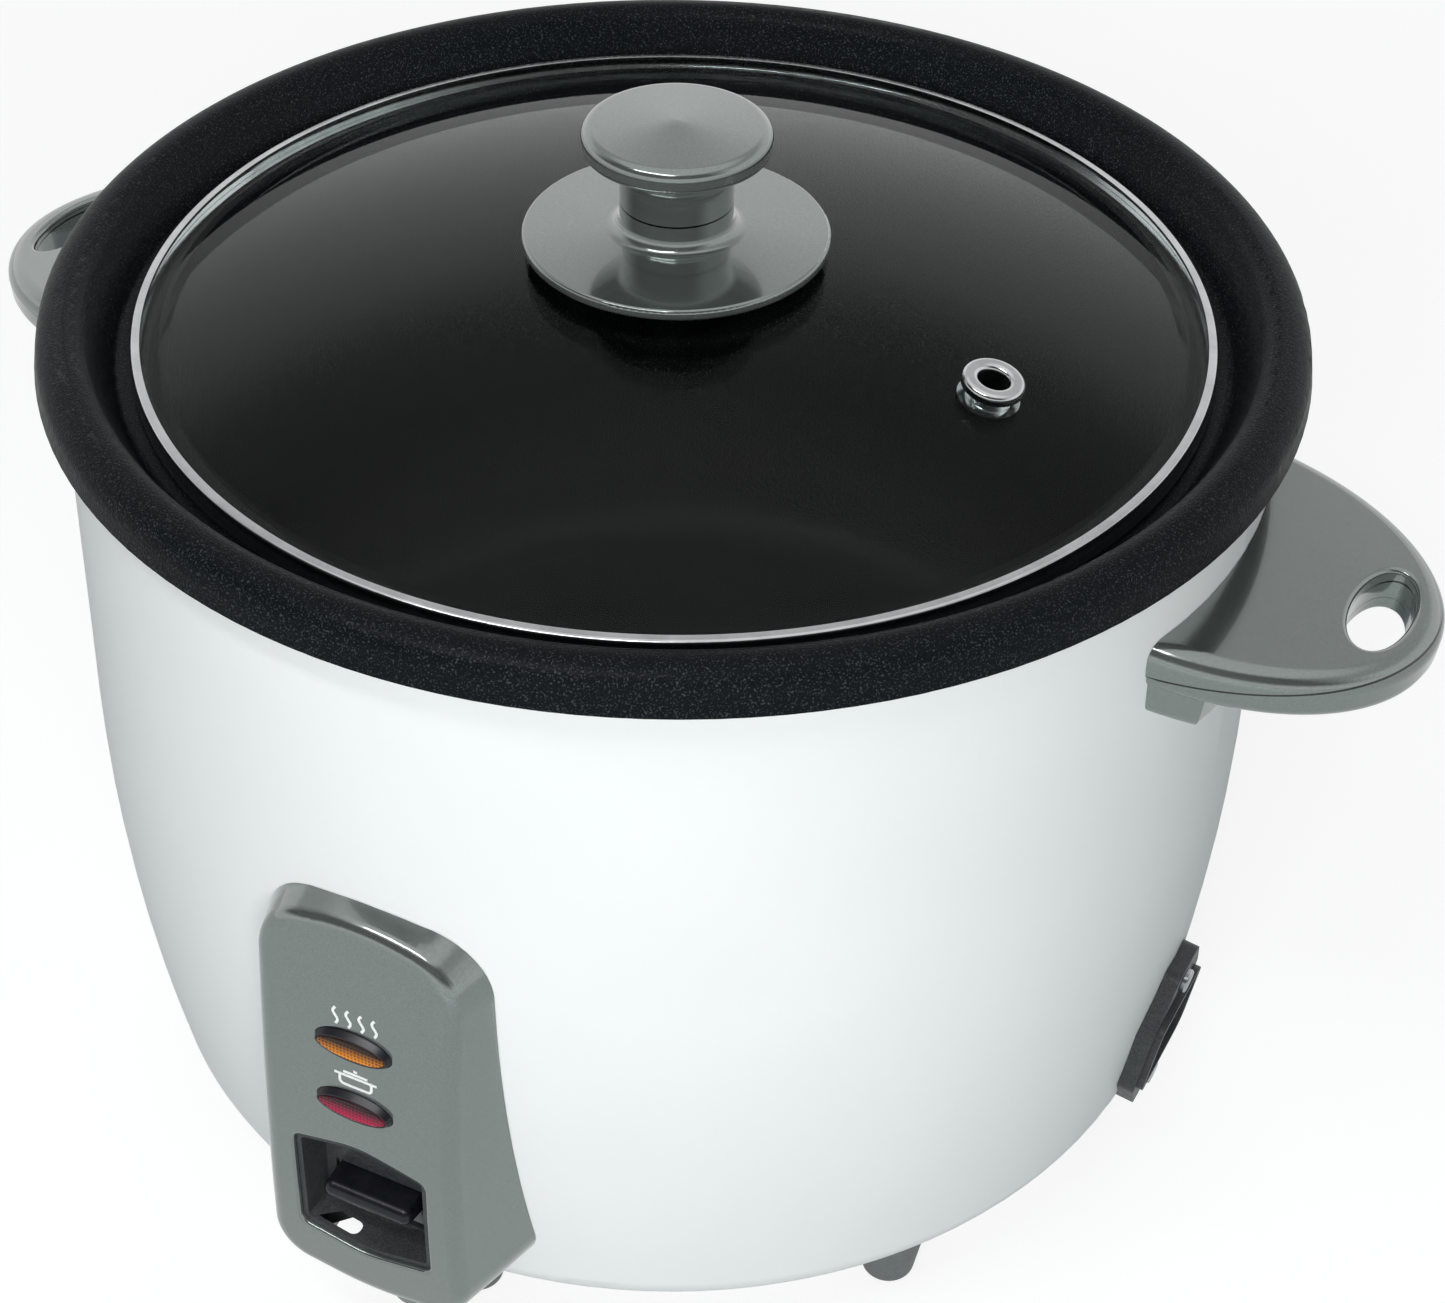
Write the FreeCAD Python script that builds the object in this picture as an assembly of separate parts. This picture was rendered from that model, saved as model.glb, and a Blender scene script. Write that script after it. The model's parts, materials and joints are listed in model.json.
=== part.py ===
import FreeCAD
import Part
import math
import os

# Drum rice cooker: a painted steel drum on plastic feet, a lift-out pot with a broad rolled rim,
# a glass lid with a knob, two hollow-looking grip handles, a switch panel and a mains inlet.
# Millimetres. The pot's axis is upright, the switch panel faces -Y, and the handles lie along X.

# Fits between pieces
SEAT_GAP = 0.1
LOOSE_GAP = 0.3
PIN_CLEARANCE = 0.05
SCREW_CLEARANCE = 0.2

# Pot, measured on its inside
POT_RADIUS = 113.0
POT_WALL = 1.6
POT_DEPTH = 132.4
POT_CORNER = 14.0
LEDGE_WIDTH = 7.6
RIM_SLOPE_WIDTH = 6.4
RIM_RISE = 12.8
RIM_CREST_WIDTH = 8.6
RIM_LIP_SPREAD = 1.4
RIM_LIP_DROP = 9.3
LEDGE_INNER_ROUND = 3.0
RIM_SEAM = 0.8
LEDGE_OUTER_ROUND = 2.2
CREST_INNER_ROUND = 4.4
CREST_OUTER_ROUND = 6.2

# Drum shell
SHELL_WALL = 0.9
LIP_OVERHANG = 5.4
SHELL_TOP_CLEARANCE = 4.0
SHELL_CURL_WIDTH = 4.0
SHELL_CURL_ROUND = 2.0
BELLY_SWELL = 1.9
BELLY_HEIGHT = 58.0
BELLY_ROUND = 450.0
BASE_TAPER = 10.6
BASE_ROUND = 11.5
BASE_FLANGE_RADIUS = 103.0

# Base cover and feet
FOOT_HEIGHT = 15.7
FOOT_TOP_RADIUS = 8.6
FOOT_SOLE_RADIUS = 5.8
FOOT_ROUND = 2.0
FOOT_CIRCLE_RADIUS = 109.0
FOOT_AZIMUTHS = (3.0, 55.0, 125.0, 235.0, 305.0)
FOOT_PEG_RADIUS = 3.0
FOOT_PEG_HEIGHT = 4.0
COVER_THICKNESS = 1.1
COVER_RADIUS = 112.5
COVER_DISH_RADIUS = 84.0
COVER_DISH_DEPTH = 2.4
COVER_DISH_ROUND = 3.0
COVER_SLOT_COUNT = 8
COVER_SLOT_RINGS = (46.0, 62.0)
COVER_SLOT_LENGTH = 14.0
COVER_SLOT_WIDTH = 3.0

# Well and heating plate
LINER_WALL = 0.8
WELL_CLEARANCE = 4.6
LINER_CORNER = 9.0
LINER_FLANGE_DROP = 5.0
LINER_FLANGE_ROUND = 3.0
LINER_HOLE_RADIUS = 32.0
ELECTRICS_HEIGHT = 25.3
ELEMENT_SPACE = 8.7
PLATE_THICKNESS = 9.0
PLATE_RADIUS = 88.0
PLATE_HOLE_RADIUS = 23.0
PLATE_EDGE_ROUND = 3.0
PLATE_POST_RADIUS = 6.0
PLATE_POST_CIRCLE = 76.0
PLATE_POST_AZIMUTHS = (60.0, 180.0, 300.0)
ELEMENT_RADIUS = 54.0
ELEMENT_TUBE_RADIUS = 3.3
ELEMENT_SWEEP = 320.0
ELEMENT_LEG_LENGTH = 15.0
LEG_HOLE_CLEARANCE = 2.5

# Temperature sensor in the middle of the plate
SLEEVE_RADIUS = 20.6
SLEEVE_WALL = 1.4
SLEEVE_FLANGE_RADIUS = 28.0
SLEEVE_FLANGE_THICKNESS = 1.6
SLEEVE_DEPTH = 24.0
CAP_WALL = 1.2
CAP_HEIGHT = 14.0
FERRITE_RADIUS = 11.0
FERRITE_THICKNESS = 5.0
MAGNET_RADIUS = 10.0
MAGNET_THICKNESS = 7.0
MAGNET_HOLE_RADIUS = 1.2
LATCH_GAP = 1.8
ROD_PLAY = 0.5
ROD_RADIUS = 2.4
SPRING_RADIUS = 14.4
SPRING_WIRE_RADIUS = 0.6
SPRING_TURNS = 5

# Cook switch: a lever from the panel's paddle to the magnet rod
LEVER_WIDTH = 12.0
LEVER_THICKNESS = 1.6
LEVER_PRESS_ANGLE = 4.0
PIVOT_REACH = 55.0
PIVOT_DROP = 9.2
PIVOT_PIN_RADIUS = 2.0
PIVOT_EAR_RADIUS = 4.4
PIVOT_SIDE_GAP = 0.4
LEVER_RUN_DROP = 5.4
LEVER_TAIL_DROP = 21.2
LEVER_TAIL_LENGTH = 24.0
LEVER_TAIL_SLOPE = 16.0
LEVER_TAIL_END = 6.0
LEVER_KNEE_INSET = 8.0
LEVER_RISE = 13.6
LEVER_BEND = 4.0
BRACKET_THICKNESS = 1.4
BRACKET_LENGTH = 22.0
PADDLE_WIDTH = 22.0
PADDLE_THICKNESS = 4.6
PADDLE_ROUND = 1.9
PADDLE_SIDE_STEP = 1.0
PADDLE_FRONT_Z = 55.2
PADDLE_ROOT_RISE = 2.6
PADDLE_RECESS = 1.2
SWITCH_BODY = (11.0, 22.0, 16.0)
SWITCH_BUTTON_RADIUS = 1.6
SWITCH_BUTTON_HEIGHT = 1.2
THERMOSTAT_RADIUS = 8.0
THERMOSTAT_HEIGHT = 6.0
THERMOSTAT_PLACE = (48.0, 52.0)
THERMOSTAT_EAR = (24.0, 7.0, 1.0)
FUSE_RADIUS = 2.6
FUSE_LENGTH = 24.0
FUSE_PLACE = (-52.0, 50.0)

# Switch panel, measured on its front outline before the edges are rounded
PANEL_PROUD = 11.2
PANEL_TOP_HALF = 21.8
PANEL_BOTTOM_HALF = 23.8
PANEL_BOTTOM_Z = 30.0
PANEL_BOTTOM_SAG = 4.0
PANEL_HEIGHT = 97.5
PANEL_ARCH = 4.5
PANEL_TOP_CORNER = 11.0
PANEL_CORNER_FLARE = 0.40
PANEL_BOTTOM_CORNER = 11.0
PANEL_ARCH_ROUND = 60.0
PANEL_SIDE_FLARE = 0.34
PANEL_TOP_FLARE = 0.33
PANEL_BOTTOM_FLARE = -0.15
PANEL_FACE_RADIUS = 514.0
PANEL_FACE_CENTRE_Z = 55.0
PANEL_EDGE_ROUND = 3.8
PANEL_WALL = 2.4
PANEL_BOSS_RADIUS = 4.0
PANEL_BOSS_TOP_Z = 120.0
PANEL_BOSS_BOTTOM_Z = 31.5
PANEL_BOSS_BOTTOM_X = 9.0
OUTLET_LEFT = -15.5
OUTLET_LENGTH = 18.5
OUTLET_INSET = 5.0

# Switch window and its well
WINDOW_HALF_WIDTH = 16.2
WINDOW_BOTTOM_Z = 43.4
WINDOW_HEIGHT = 27.6
WINDOW_TOP_ARCH = 3.4
WINDOW_BOTTOM_SAG = 3.0
WINDOW_CORNER = 2.4
WINDOW_ARCH_ROUND = 24.0
WINDOW_EDGE_ROUND = 0.8
WELL_WALL = 1.2
WELL_DEPTH = 8.0
WELL_RECESS = 1.2
WELL_SIDE_TAPER = 1.6
WELL_FLOOR_TAPER = 1.8
WELL_ROOF_TAPER = 1.2
DRAIN_LEFT = -14.0
DRAIN_LENGTH = 10.6
DRAIN_INSET = 0.9
DRAIN_WIDTH = 4.0

# Indicator lamps
LAMP_HEIGHTS = (103.0, 86.6)
LAMP_HALF_LENGTH = 9.3
LAMP_HALF_HEIGHT = 4.0
LENS_HALF_LENGTH = 8.0
LENS_HALF_HEIGHT = 2.6
LENS_PROUD = 0.2
LENS_ROUND = 0.25
FRAME_PROUD = 1.3
FRAME_RIM = 0.5
FRAME_FLANGE = 1.4
FRAME_FLANGE_THICKNESS = 1.2
NEON_RADIUS = 2.3
NEON_LENGTH = 12.0
HOLDER_HALF_WIDTH = 9.0
HOLDER_DEPTH = 6.4
HOLDER_MARGIN = 5.0
CUTOUT_HALF_WIDTH = 13.0
CUTOUT_BOTTOM_Z = 37.5
CUTOUT_TOP_Z = 111.0

# Mains inlet on the right flank
INLET_Z = 42.5
INLET_FLANGE_HALF_WIDTH = 15.5
INLET_FLANGE_WAIST = 9.0
INLET_FLANGE_END = 6.5
INLET_FLANGE_HALF_HEIGHT = 22.5
INLET_FLANGE_THICKNESS = 3.2
INLET_FLANGE_ROUND = 4.0
INLET_COLLAR_HALF_WIDTH = 14.0
INLET_COLLAR_HALF_HEIGHT = 11.0
INLET_COLLAR_HEIGHT = 4.8
INLET_COLLAR_ROUND = 4.0
INLET_WALL = 1.8
INLET_DEPTH = 4.6
INLET_PIN = (4.2, 1.8, 5.4)
INLET_PIN_PLACES = ((-6.6, -2.2), (6.6, -2.2), (0.0, 3.0))
INLET_SCREW_OFFSET = 16.6

# Side handles: an upper and a lower moulding on each side
HANDLE_TOP_Z = 182.6
HANDLE_SEAM_DROP = 7.4
HANDLE_THICKNESS = 10.8
HANDLE_DROOP = 7.4
HANDLE_CENTRE_INSET = -9.6
HANDLE_REACH = 53.2
HANDLE_HALF_WIDTH = 40.2
HANDLE_TOP_ROUND = 4.2
HANDLE_UNDER_ROUND = 2.6
HANDLE_SEAM_GROOVE = 0.35
SLOT_HALF_LENGTH = 14.0
SLOT_HALF_WIDTH = 6.2
SLOT_INSET = 13.0
SLOT_ROUND = 1.2
HANDLE_BOSS_DROP = 7.0
HANDLE_BOSS_WIDTH = 12.0
HANDLE_BOSS_INSET = 1.0
HANDLE_BOSS_ROUND = 2.6
HANDLE_SCREW_SPREAD = 24.0
HANDLE_CLAMP_INSET = 16.0

# Lid
LID_CLEARANCE = 3.5
LID_RING_WIDTH = 2.2
LID_RING_WALL = 0.8
GLASS_THICKNESS = 3.6
GLASS_EDGE_LAND = 3.0
GLASS_RISE = 17.2
GLASS_HOLE_RADIUS = 4.0
VENT_INSET = 38.9
VENT_AZIMUTH = 84.0
VENT_HOLE_RADIUS = 3.3
VENT_TUBE_RADIUS = 4.8
VENT_FLANGE_RADIUS = 6.7
VENT_FLANGE_HEIGHT = 2.2
VENT_UNDER_HEIGHT = 1.2

# Knob
KNOB_FLANGE_RADIUS = 33.0
KNOB_FLANGE_THICKNESS = 2.4
KNOB_FLANGE_RISE = 1.2
KNOB_FLANGE_LIFT = 0.6
KNOB_NECK_RADIUS = 12.2
KNOB_NECK_HEIGHT = 6.1
KNOB_NECK_ROUND = 3.0
KNOB_SEAT_RADIUS = 11.0
KNOB_CAP_RADIUS = 20.2
KNOB_CAP_NECK = 8.2
KNOB_CAP_UNDERCUT = 4.4
KNOB_CAP_EDGE = 4.6
KNOB_CAP_CROWN = 1.4
KNOB_CAP_ROUND = 2.4
KNOB_SPIGOT_RADIUS = 7.0
KNOB_SPIGOT_HEIGHT = 2.4
WASHER_RADIUS = 10.0
WASHER_THICKNESS = 1.2

# Screws: head radius, head height, shank radius, shank length
CASE_SCREW = (3.2, 2.0, 1.5, 7.0)
PLATE_SCREW = (3.6, 2.2, 1.9, 7.6)
HANDLE_SCREW = (3.6, 2.2, 2.0, 10.0)
CLAMP_SCREW = (2.8, 1.6, 1.4, 7.4)
KNOB_SCREW = (5.4, 2.4, 2.2, 10.4)
INLET_SCREW = (2.9, 1.4, 1.4, 4.0)
SCREW_HEAD_ROUND = 0.6
BASE_SCREW_AZIMUTHS = (27.0, 90.0, 153.0, 207.0, 270.0, 333.0)
BASE_SCREW_CIRCLE = 107.5

# Heights that stack up from the floor
COVER_Z = FOOT_HEIGHT + SEAT_GAP
SHELL_BASE_Z = COVER_Z + COVER_THICKNESS + SEAT_GAP
LINER_UNDER_Z = SHELL_BASE_Z + SHELL_WALL + ELECTRICS_HEIGHT
LINER_FLOOR_Z = LINER_UNDER_Z + LINER_WALL
PLATE_UNDER_Z = LINER_FLOOR_Z + ELEMENT_SPACE
PLATE_TOP_Z = PLATE_UNDER_Z + PLATE_THICKNESS
POT_UNDER_Z = PLATE_TOP_Z + LOOSE_GAP
POT_FLOOR_Z = POT_UNDER_Z + POT_WALL
LEDGE_Z = POT_FLOOR_Z + POT_DEPTH
RIM_SEAM_Z = LEDGE_Z - LEDGE_INNER_ROUND - RIM_SEAM
CREST_Z = LEDGE_Z + RIM_RISE
LIP_Z = CREST_Z - RIM_LIP_DROP
SHELL_TOP_Z = CREST_Z - POT_WALL - SHELL_TOP_CLEARANCE
LINER_FLANGE_Z = LEDGE_Z - LINER_FLANGE_DROP

# Radii that follow from the pot
LEDGE_RADIUS = POT_RADIUS + LEDGE_WIDTH
CREST_INNER_RADIUS = LEDGE_RADIUS + RIM_SLOPE_WIDTH
CREST_OUTER_RADIUS = CREST_INNER_RADIUS + RIM_CREST_WIDTH
LIP_RADIUS = CREST_OUTER_RADIUS + RIM_LIP_SPREAD
SHELL_TOP_RADIUS = LIP_RADIUS - LIP_OVERHANG
BELLY_RADIUS = SHELL_TOP_RADIUS + BELLY_SWELL
LINER_RADIUS = POT_RADIUS + POT_WALL + WELL_CLEARANCE
BASE_RADIUS = BELLY_RADIUS - BASE_TAPER
BELLY_Z = SHELL_BASE_Z + BELLY_HEIGHT

# The frame's origin is on the floor under the middle of the whole object, so that the panel,
# which stands out in front, moves the pot's axis back by this much.
PANEL_REACH = BELLY_RADIUS - LOOSE_GAP + PANEL_PROUD
AXIS_Y = (PANEL_REACH - LIP_RADIUS) / 2.0

UP = FreeCAD.Vector(0, 0, 1)
ORIGIN = FreeCAD.Vector(0, 0, 0)
FAR = 400.0


def vec(x, y, z):
    return FreeCAD.Vector(x, y, z)


def unit(a, b):
    """Unit direction from one (r, z) point to another."""
    length = math.hypot(b[0] - a[0], b[1] - a[1])
    return ((b[0] - a[0]) / length, (b[1] - a[1]) / length)


def corner_parts(before, corner, after, radius):
    """Start, middle and end of the arc that rounds one corner of a path."""
    d_in = unit(before, corner)
    d_out = unit(corner, after)
    turn = math.acos(max(-1.0, min(1.0, d_in[0] * d_out[0] + d_in[1] * d_out[1])))
    reach = radius * math.tan(turn / 2.0)
    inward = (d_out[0] - d_in[0], d_out[1] - d_in[1])
    size = math.hypot(*inward)
    inward = (inward[0] / size, inward[1] / size)
    sink = radius / math.cos(turn / 2.0) - radius
    start = (corner[0] - d_in[0] * reach, corner[1] - d_in[1] * reach)
    middle = (corner[0] + inward[0] * sink, corner[1] + inward[1] * sink)
    end = (corner[0] + d_out[0] * reach, corner[1] + d_out[1] * reach)
    return start, middle, end


def path_edges(points, radii, place, closed=False):
    """Lines and arcs along a path whose corners are rounded; place maps a flat point into space."""
    count = len(points)
    stops = []
    for i, point in enumerate(points):
        inner = closed or 0 < i < count - 1
        if inner and radii[i] > 0:
            before = points[i - 1]
            after = points[(i + 1) % count]
            stops.append(corner_parts(before, point, after, radii[i]))
        else:
            stops.append((point, None, point))
    edges = []
    for i, (start, middle, end) in enumerate(stops):
        if middle is not None:
            edges.append(Part.Arc(place(start), place(middle), place(end)).toShape())
        if i < count - 1 or closed:
            target = stops[(i + 1) % count][0]
            if math.hypot(target[0] - end[0], target[1] - end[1]) > 1e-6:
                edges.append(Part.LineSegment(place(end), place(target)).toShape())
    return edges


def offset_path(points, radii, distance):
    """The same path moved to its left, with its round corners kept concentric."""
    moved = []
    rounds = []
    last = len(points) - 1
    for i, point in enumerate(points):
        d_in = unit(points[i - 1], point) if i > 0 else unit(point, points[1])
        d_out = unit(point, points[i + 1]) if i < last else d_in
        n_in = (-d_in[1], d_in[0])
        n_out = (-d_out[1], d_out[0])
        scale = distance / (1.0 + n_in[0] * n_out[0] + n_in[1] * n_out[1])
        moved.append((point[0] + (n_in[0] + n_out[0]) * scale, point[1] + (n_in[1] + n_out[1]) * scale))
        left_turn = d_in[0] * d_out[1] - d_in[1] * d_out[0] > 0
        offset_round = radii[i] - distance if left_turn else radii[i] + distance
        rounds.append(max(0.0, offset_round) if radii[i] else 0.0)
    return moved, rounds


def upright(point):
    return vec(point[0], 0, point[1])


def level(point):
    return vec(point[0], point[1], 0)


def facing(y):
    """Places a flat (x, z) point on an upright plane across the front."""
    return lambda point: vec(point[0], y, point[1])


def spun(edges):
    """Solid of revolution about the pot's axis from a closed set of edges in the r-z plane."""
    face = Part.Face(Part.Wire(Part.__sortEdges__(edges)))
    return face.revolve(ORIGIN, UP, 360)


def spun_sheet(points, radii, thickness):
    """A sheet spun about the axis: its first face follows the path, its thickness lies to the left."""
    inner, inner_radii = offset_path(points, radii, thickness)
    edges = path_edges(points, radii, upright) + path_edges(inner, inner_radii, upright)
    edges.append(Part.LineSegment(upright(points[0]), upright(inner[0])).toShape())
    edges.append(Part.LineSegment(upright(points[-1]), upright(inner[-1])).toShape())
    return spun(edges)


def spun_solid(points, radii):
    """A solid spun from a closed outline in the r-z plane."""
    return spun(path_edges(points, radii, upright, closed=True))


def disc(radius, z0, z1, x=0.0, y=0.0):
    return Part.makeCylinder(radius, z1 - z0, vec(x, y, z0))


def block(x0, x1, y0, y1, z0, z1):
    return Part.makeBox(x1 - x0, y1 - y0, z1 - z0, vec(x0, y0, z0))


def prism(points, radii, place, direction):
    """A rounded outline, placed in space and drawn out along a direction."""
    wire = Part.Wire(Part.__sortEdges__(path_edges(points, radii, place, closed=True)))
    return Part.Face(wire).extrude(direction)


def turned(shape, degrees):
    """A copy turned about the pot's axis."""
    copy = shape.copy()
    copy.rotate(ORIGIN, UP, degrees)
    return copy


def azimuth_place(radius, azimuth):
    """Plan position at an azimuth counted from the front towards +X."""
    angle = math.radians(azimuth)
    return radius * math.sin(angle), -radius * math.cos(angle)


def screw(sizes):
    """A pan-head screw standing on its head's flat: shank upwards, head below zero."""
    head_radius, head_height, shank_radius, shank_length = sizes
    head = disc(head_radius, -head_height, 0)
    rim = [e for e in head.Edges if abs(e.BoundBox.ZMax + head_height) < 1e-6 and e.Closed]
    head = head.makeFillet(SCREW_HEAD_ROUND, rim)
    return head.fuse(disc(shank_radius, 0, shank_length)).removeSplitter()


def placed(shape, base, direction):
    """A copy whose upward axis points along a direction, standing at a base point."""
    copy = shape.copy()
    copy.Placement = FreeCAD.Placement(base, FreeCAD.Rotation(UP, direction))
    return copy


def cut_all(shape, tools):
    return shape.cut(Part.makeCompound(tools)) if tools else shape


# Outline of the drum, from its top curl down to the base flange, seen at the right of the axis
DRUM_POINTS = (
    (SHELL_TOP_RADIUS - SHELL_CURL_WIDTH, SHELL_TOP_Z),
    (SHELL_TOP_RADIUS, SHELL_TOP_Z),
    (BELLY_RADIUS, BELLY_Z),
    (BASE_RADIUS, SHELL_BASE_Z),
    (BASE_FLANGE_RADIUS, SHELL_BASE_Z),
)
DRUM_RADII = (0.0, SHELL_CURL_ROUND, BELLY_ROUND, BASE_ROUND, 0.0)


def drum_solid(growth):
    """The drum as a full body, its surface moved outwards by growth."""
    points, radii = offset_path(DRUM_POINTS, DRUM_RADII, growth)
    edges = path_edges(points, radii, upright)
    top = points[0]
    foot = points[-1]
    edges.append(Part.LineSegment(upright((0, top[1])), upright(top)).toShape())
    edges.append(Part.LineSegment(upright((0, foot[1])), upright(foot)).toShape())
    edges.append(Part.LineSegment(upright((0, top[1])), upright((0, foot[1]))).toShape())
    return spun(edges)


def drum_radius(z, inset=0.0):
    """Radius of the drum's surface at a height, or of a surface that lies inside it."""
    points, radii = offset_path(DRUM_POINTS, DRUM_RADII, -inset)
    side = Part.Wire(path_edges(points, radii, upright))
    probe = Part.LineSegment(vec(BASE_FLANGE_RADIUS, 0, z), vec(FAR, 0, z)).toShape()
    return side.distToShape(probe)[1][0][0].x


SHELL_INNER_AT_FLANGE = drum_radius(LINER_FLANGE_Z, SHELL_WALL)
HANDLE_SEAM_Z = HANDLE_TOP_Z - HANDLE_SEAM_DROP
HANDLE_UNDER_Z = HANDLE_TOP_Z - HANDLE_THICKNESS
HANDLE_BOSS_Z = HANDLE_UNDER_Z - HANDLE_BOSS_DROP
HANDLE_CENTRE = drum_radius(HANDLE_TOP_Z) + HANDLE_CENTRE_INSET
HANDLE_TIP = HANDLE_CENTRE + HANDLE_REACH
HANDLE_SCREW_Z = (HANDLE_BOSS_Z + HANDLE_SEAM_Z) / 2.0
HANDLE_CLAMP_RADIUS = drum_radius(HANDLE_UNDER_Z) + HANDLE_CLAMP_INSET
PANEL_TOP_Z = PANEL_BOTTOM_Z + PANEL_HEIGHT
PANEL_BOSSES = ((PANEL_BOSS_BOTTOM_X, PANEL_BOSS_BOTTOM_Z), (0.0, PANEL_BOSS_TOP_Z))
PIVOT_Z = LINER_UNDER_Z - PIVOT_DROP


def panel_face_y(z, inset=0.0):
    """Place of the panel's gently swollen front face at a height."""
    centre_y = PANEL_FACE_RADIUS - PANEL_REACH
    radius = PANEL_FACE_RADIUS - inset
    return centre_y - math.sqrt(radius ** 2 - (z - PANEL_FACE_CENTRE_Z) ** 2)


# Drum shell


def handle_screw_axes():
    """Start points and directions of the screws that hold the handles from inside the drum."""
    seat = drum_radius(HANDLE_SCREW_Z, SHELL_WALL)
    reach = math.sqrt(seat ** 2 - (HANDLE_SCREW_SPREAD + HANDLE_SCREW[0]) ** 2) - SEAT_GAP
    axes = []
    for side in (-1, 1):
        for spread in (-HANDLE_SCREW_SPREAD, HANDLE_SCREW_SPREAD):
            axes.append((vec(side * reach, spread, HANDLE_SCREW_Z), vec(side, 0, 0)))
    return axes


def panel_screw_axes():
    """Start points and directions of the two screws that hold the panel from inside the drum."""
    axes = []
    for x, z in PANEL_BOSSES:
        low = drum_radius(z - CASE_SCREW[0], SHELL_WALL)
        high = drum_radius(z + CASE_SCREW[0], SHELL_WALL)
        reach = math.sqrt(min(low, high) ** 2 - (x + CASE_SCREW[0]) ** 2) - SEAT_GAP
        axes.append((vec(x, -reach, z), vec(0, -1, 0)))
    return axes


def base_screw_places():
    return [azimuth_place(BASE_SCREW_CIRCLE, a) for a in BASE_SCREW_AZIMUTHS]


def foot_places():
    return [azimuth_place(FOOT_CIRCLE_RADIUS, a) for a in FOOT_AZIMUTHS]


def screw_holes(axes, sizes):
    """Clearance holes along the shanks of a set of screws."""
    return [
        Part.makeCylinder(sizes[2] + SCREW_CLEARANCE, sizes[3] + sizes[2], base, direction)
        for base, direction in axes
    ]


def inlet_frame():
    """Placement of the inlet: its outward axis is square to the sloping flank on the +X side."""
    low = drum_radius(INLET_Z - INLET_COLLAR_HALF_HEIGHT)
    high = drum_radius(INLET_Z + INLET_COLLAR_HALF_HEIGHT)
    upward = vec(high - low, 0, 2.0 * INLET_COLLAR_HALF_HEIGHT).normalize()
    outward = vec(upward.z, 0, -upward.x)
    sideways = vec(0, 1, 0)
    rotation = FreeCAD.Rotation(sideways, upward, outward, "ZYX")
    return FreeCAD.Placement(vec(drum_radius(INLET_Z), 0, INLET_Z), rotation)


def inlet_can(growth, z0, z1):
    """The inlet's rounded socket body in its own frame."""
    half_w = INLET_COLLAR_HALF_WIDTH + growth
    half_h = INLET_COLLAR_HALF_HEIGHT + growth
    corners = ((-half_w, -half_h), (half_w, -half_h), (half_w, half_h), (-half_w, half_h))
    radii = (INLET_COLLAR_ROUND + growth,) * 4
    solid = prism(corners, radii, level, vec(0, 0, z1 - z0))
    solid.translate(vec(0, 0, z0))
    return solid


def in_inlet_frame(shape):
    copy = shape.copy()
    copy.Placement = inlet_frame().multiply(copy.Placement)
    return copy


def make_outer_shell():
    shell = spun_sheet(DRUM_POINTS, DRUM_RADII, -SHELL_WALL)
    tools = screw_holes(handle_screw_axes(), HANDLE_SCREW)
    tools += screw_holes(panel_screw_axes(), CASE_SCREW)
    tools += [
        disc(CASE_SCREW[2] + SCREW_CLEARANCE, 0, LINER_UNDER_Z, x, y) for x, y in base_screw_places()
    ]
    tools += [
        disc(FOOT_PEG_RADIUS + SCREW_CLEARANCE, 0, LINER_UNDER_Z, x, y) for x, y in foot_places()
    ]
    tools.append(block(-CUTOUT_HALF_WIDTH, CUTOUT_HALF_WIDTH, -FAR, -LINER_RADIUS / 2.0,
                       CUTOUT_BOTTOM_Z, CUTOUT_TOP_Z))
    depth = INLET_DEPTH + INLET_WALL
    tools.append(in_inlet_frame(inlet_can(SCREW_CLEARANCE, -depth - SHELL_WALL, depth)))
    for side in (-1, 1):
        tools.append(in_inlet_frame(disc(INLET_SCREW[2] + SCREW_CLEARANCE, -depth, depth,
                                         0, side * INLET_SCREW_OFFSET)))
    return cut_all(shell, tools)


def make_base_cover():
    floor_z = COVER_Z + COVER_DISH_DEPTH
    points = (
        (COVER_RADIUS, COVER_Z),
        (COVER_DISH_RADIUS + COVER_DISH_DEPTH, COVER_Z),
        (COVER_DISH_RADIUS, floor_z),
        (0, floor_z),
    )
    cover = spun_sheet(points, (0.0, COVER_DISH_ROUND, COVER_DISH_ROUND, 0.0), -COVER_THICKNESS)
    tools = [disc(CASE_SCREW[2] + SCREW_CLEARANCE, 0, FAR, x, y) for x, y in base_screw_places()]
    tools += [disc(FOOT_PEG_RADIUS + SEAT_GAP, 0, FAR, x, y) for x, y in foot_places()]
    half = COVER_SLOT_LENGTH / 2.0
    for ring in COVER_SLOT_RINGS:
        for i in range(COVER_SLOT_COUNT):
            slot = block(-half, half, ring, ring + COVER_SLOT_WIDTH, COVER_Z, floor_z + COVER_DISH_DEPTH)
            tools.append(turned(slot, 360.0 * i / COVER_SLOT_COUNT))
    return cut_all(cover, tools)


def make_feet():
    points = (
        (0, 0),
        (FOOT_SOLE_RADIUS, 0),
        (FOOT_TOP_RADIUS, FOOT_HEIGHT),
        (FOOT_PEG_RADIUS, FOOT_HEIGHT),
        (FOOT_PEG_RADIUS, FOOT_HEIGHT + FOOT_PEG_HEIGHT),
        (0, FOOT_HEIGHT + FOOT_PEG_HEIGHT),
    )
    foot = spun_solid(points, (0.0, FOOT_ROUND, 0.0, 0.0, 0.0, 0.0))
    feet = []
    for x, y in foot_places():
        copy = foot.copy()
        copy.translate(vec(x, y, 0))
        feet.append(copy)
    return Part.makeCompound(feet)


def make_base_screws():
    return Part.makeCompound([
        placed(screw(CASE_SCREW), vec(x, y, COVER_Z - SEAT_GAP), UP) for x, y in base_screw_places()
    ])


# Well, heating plate and element


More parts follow.
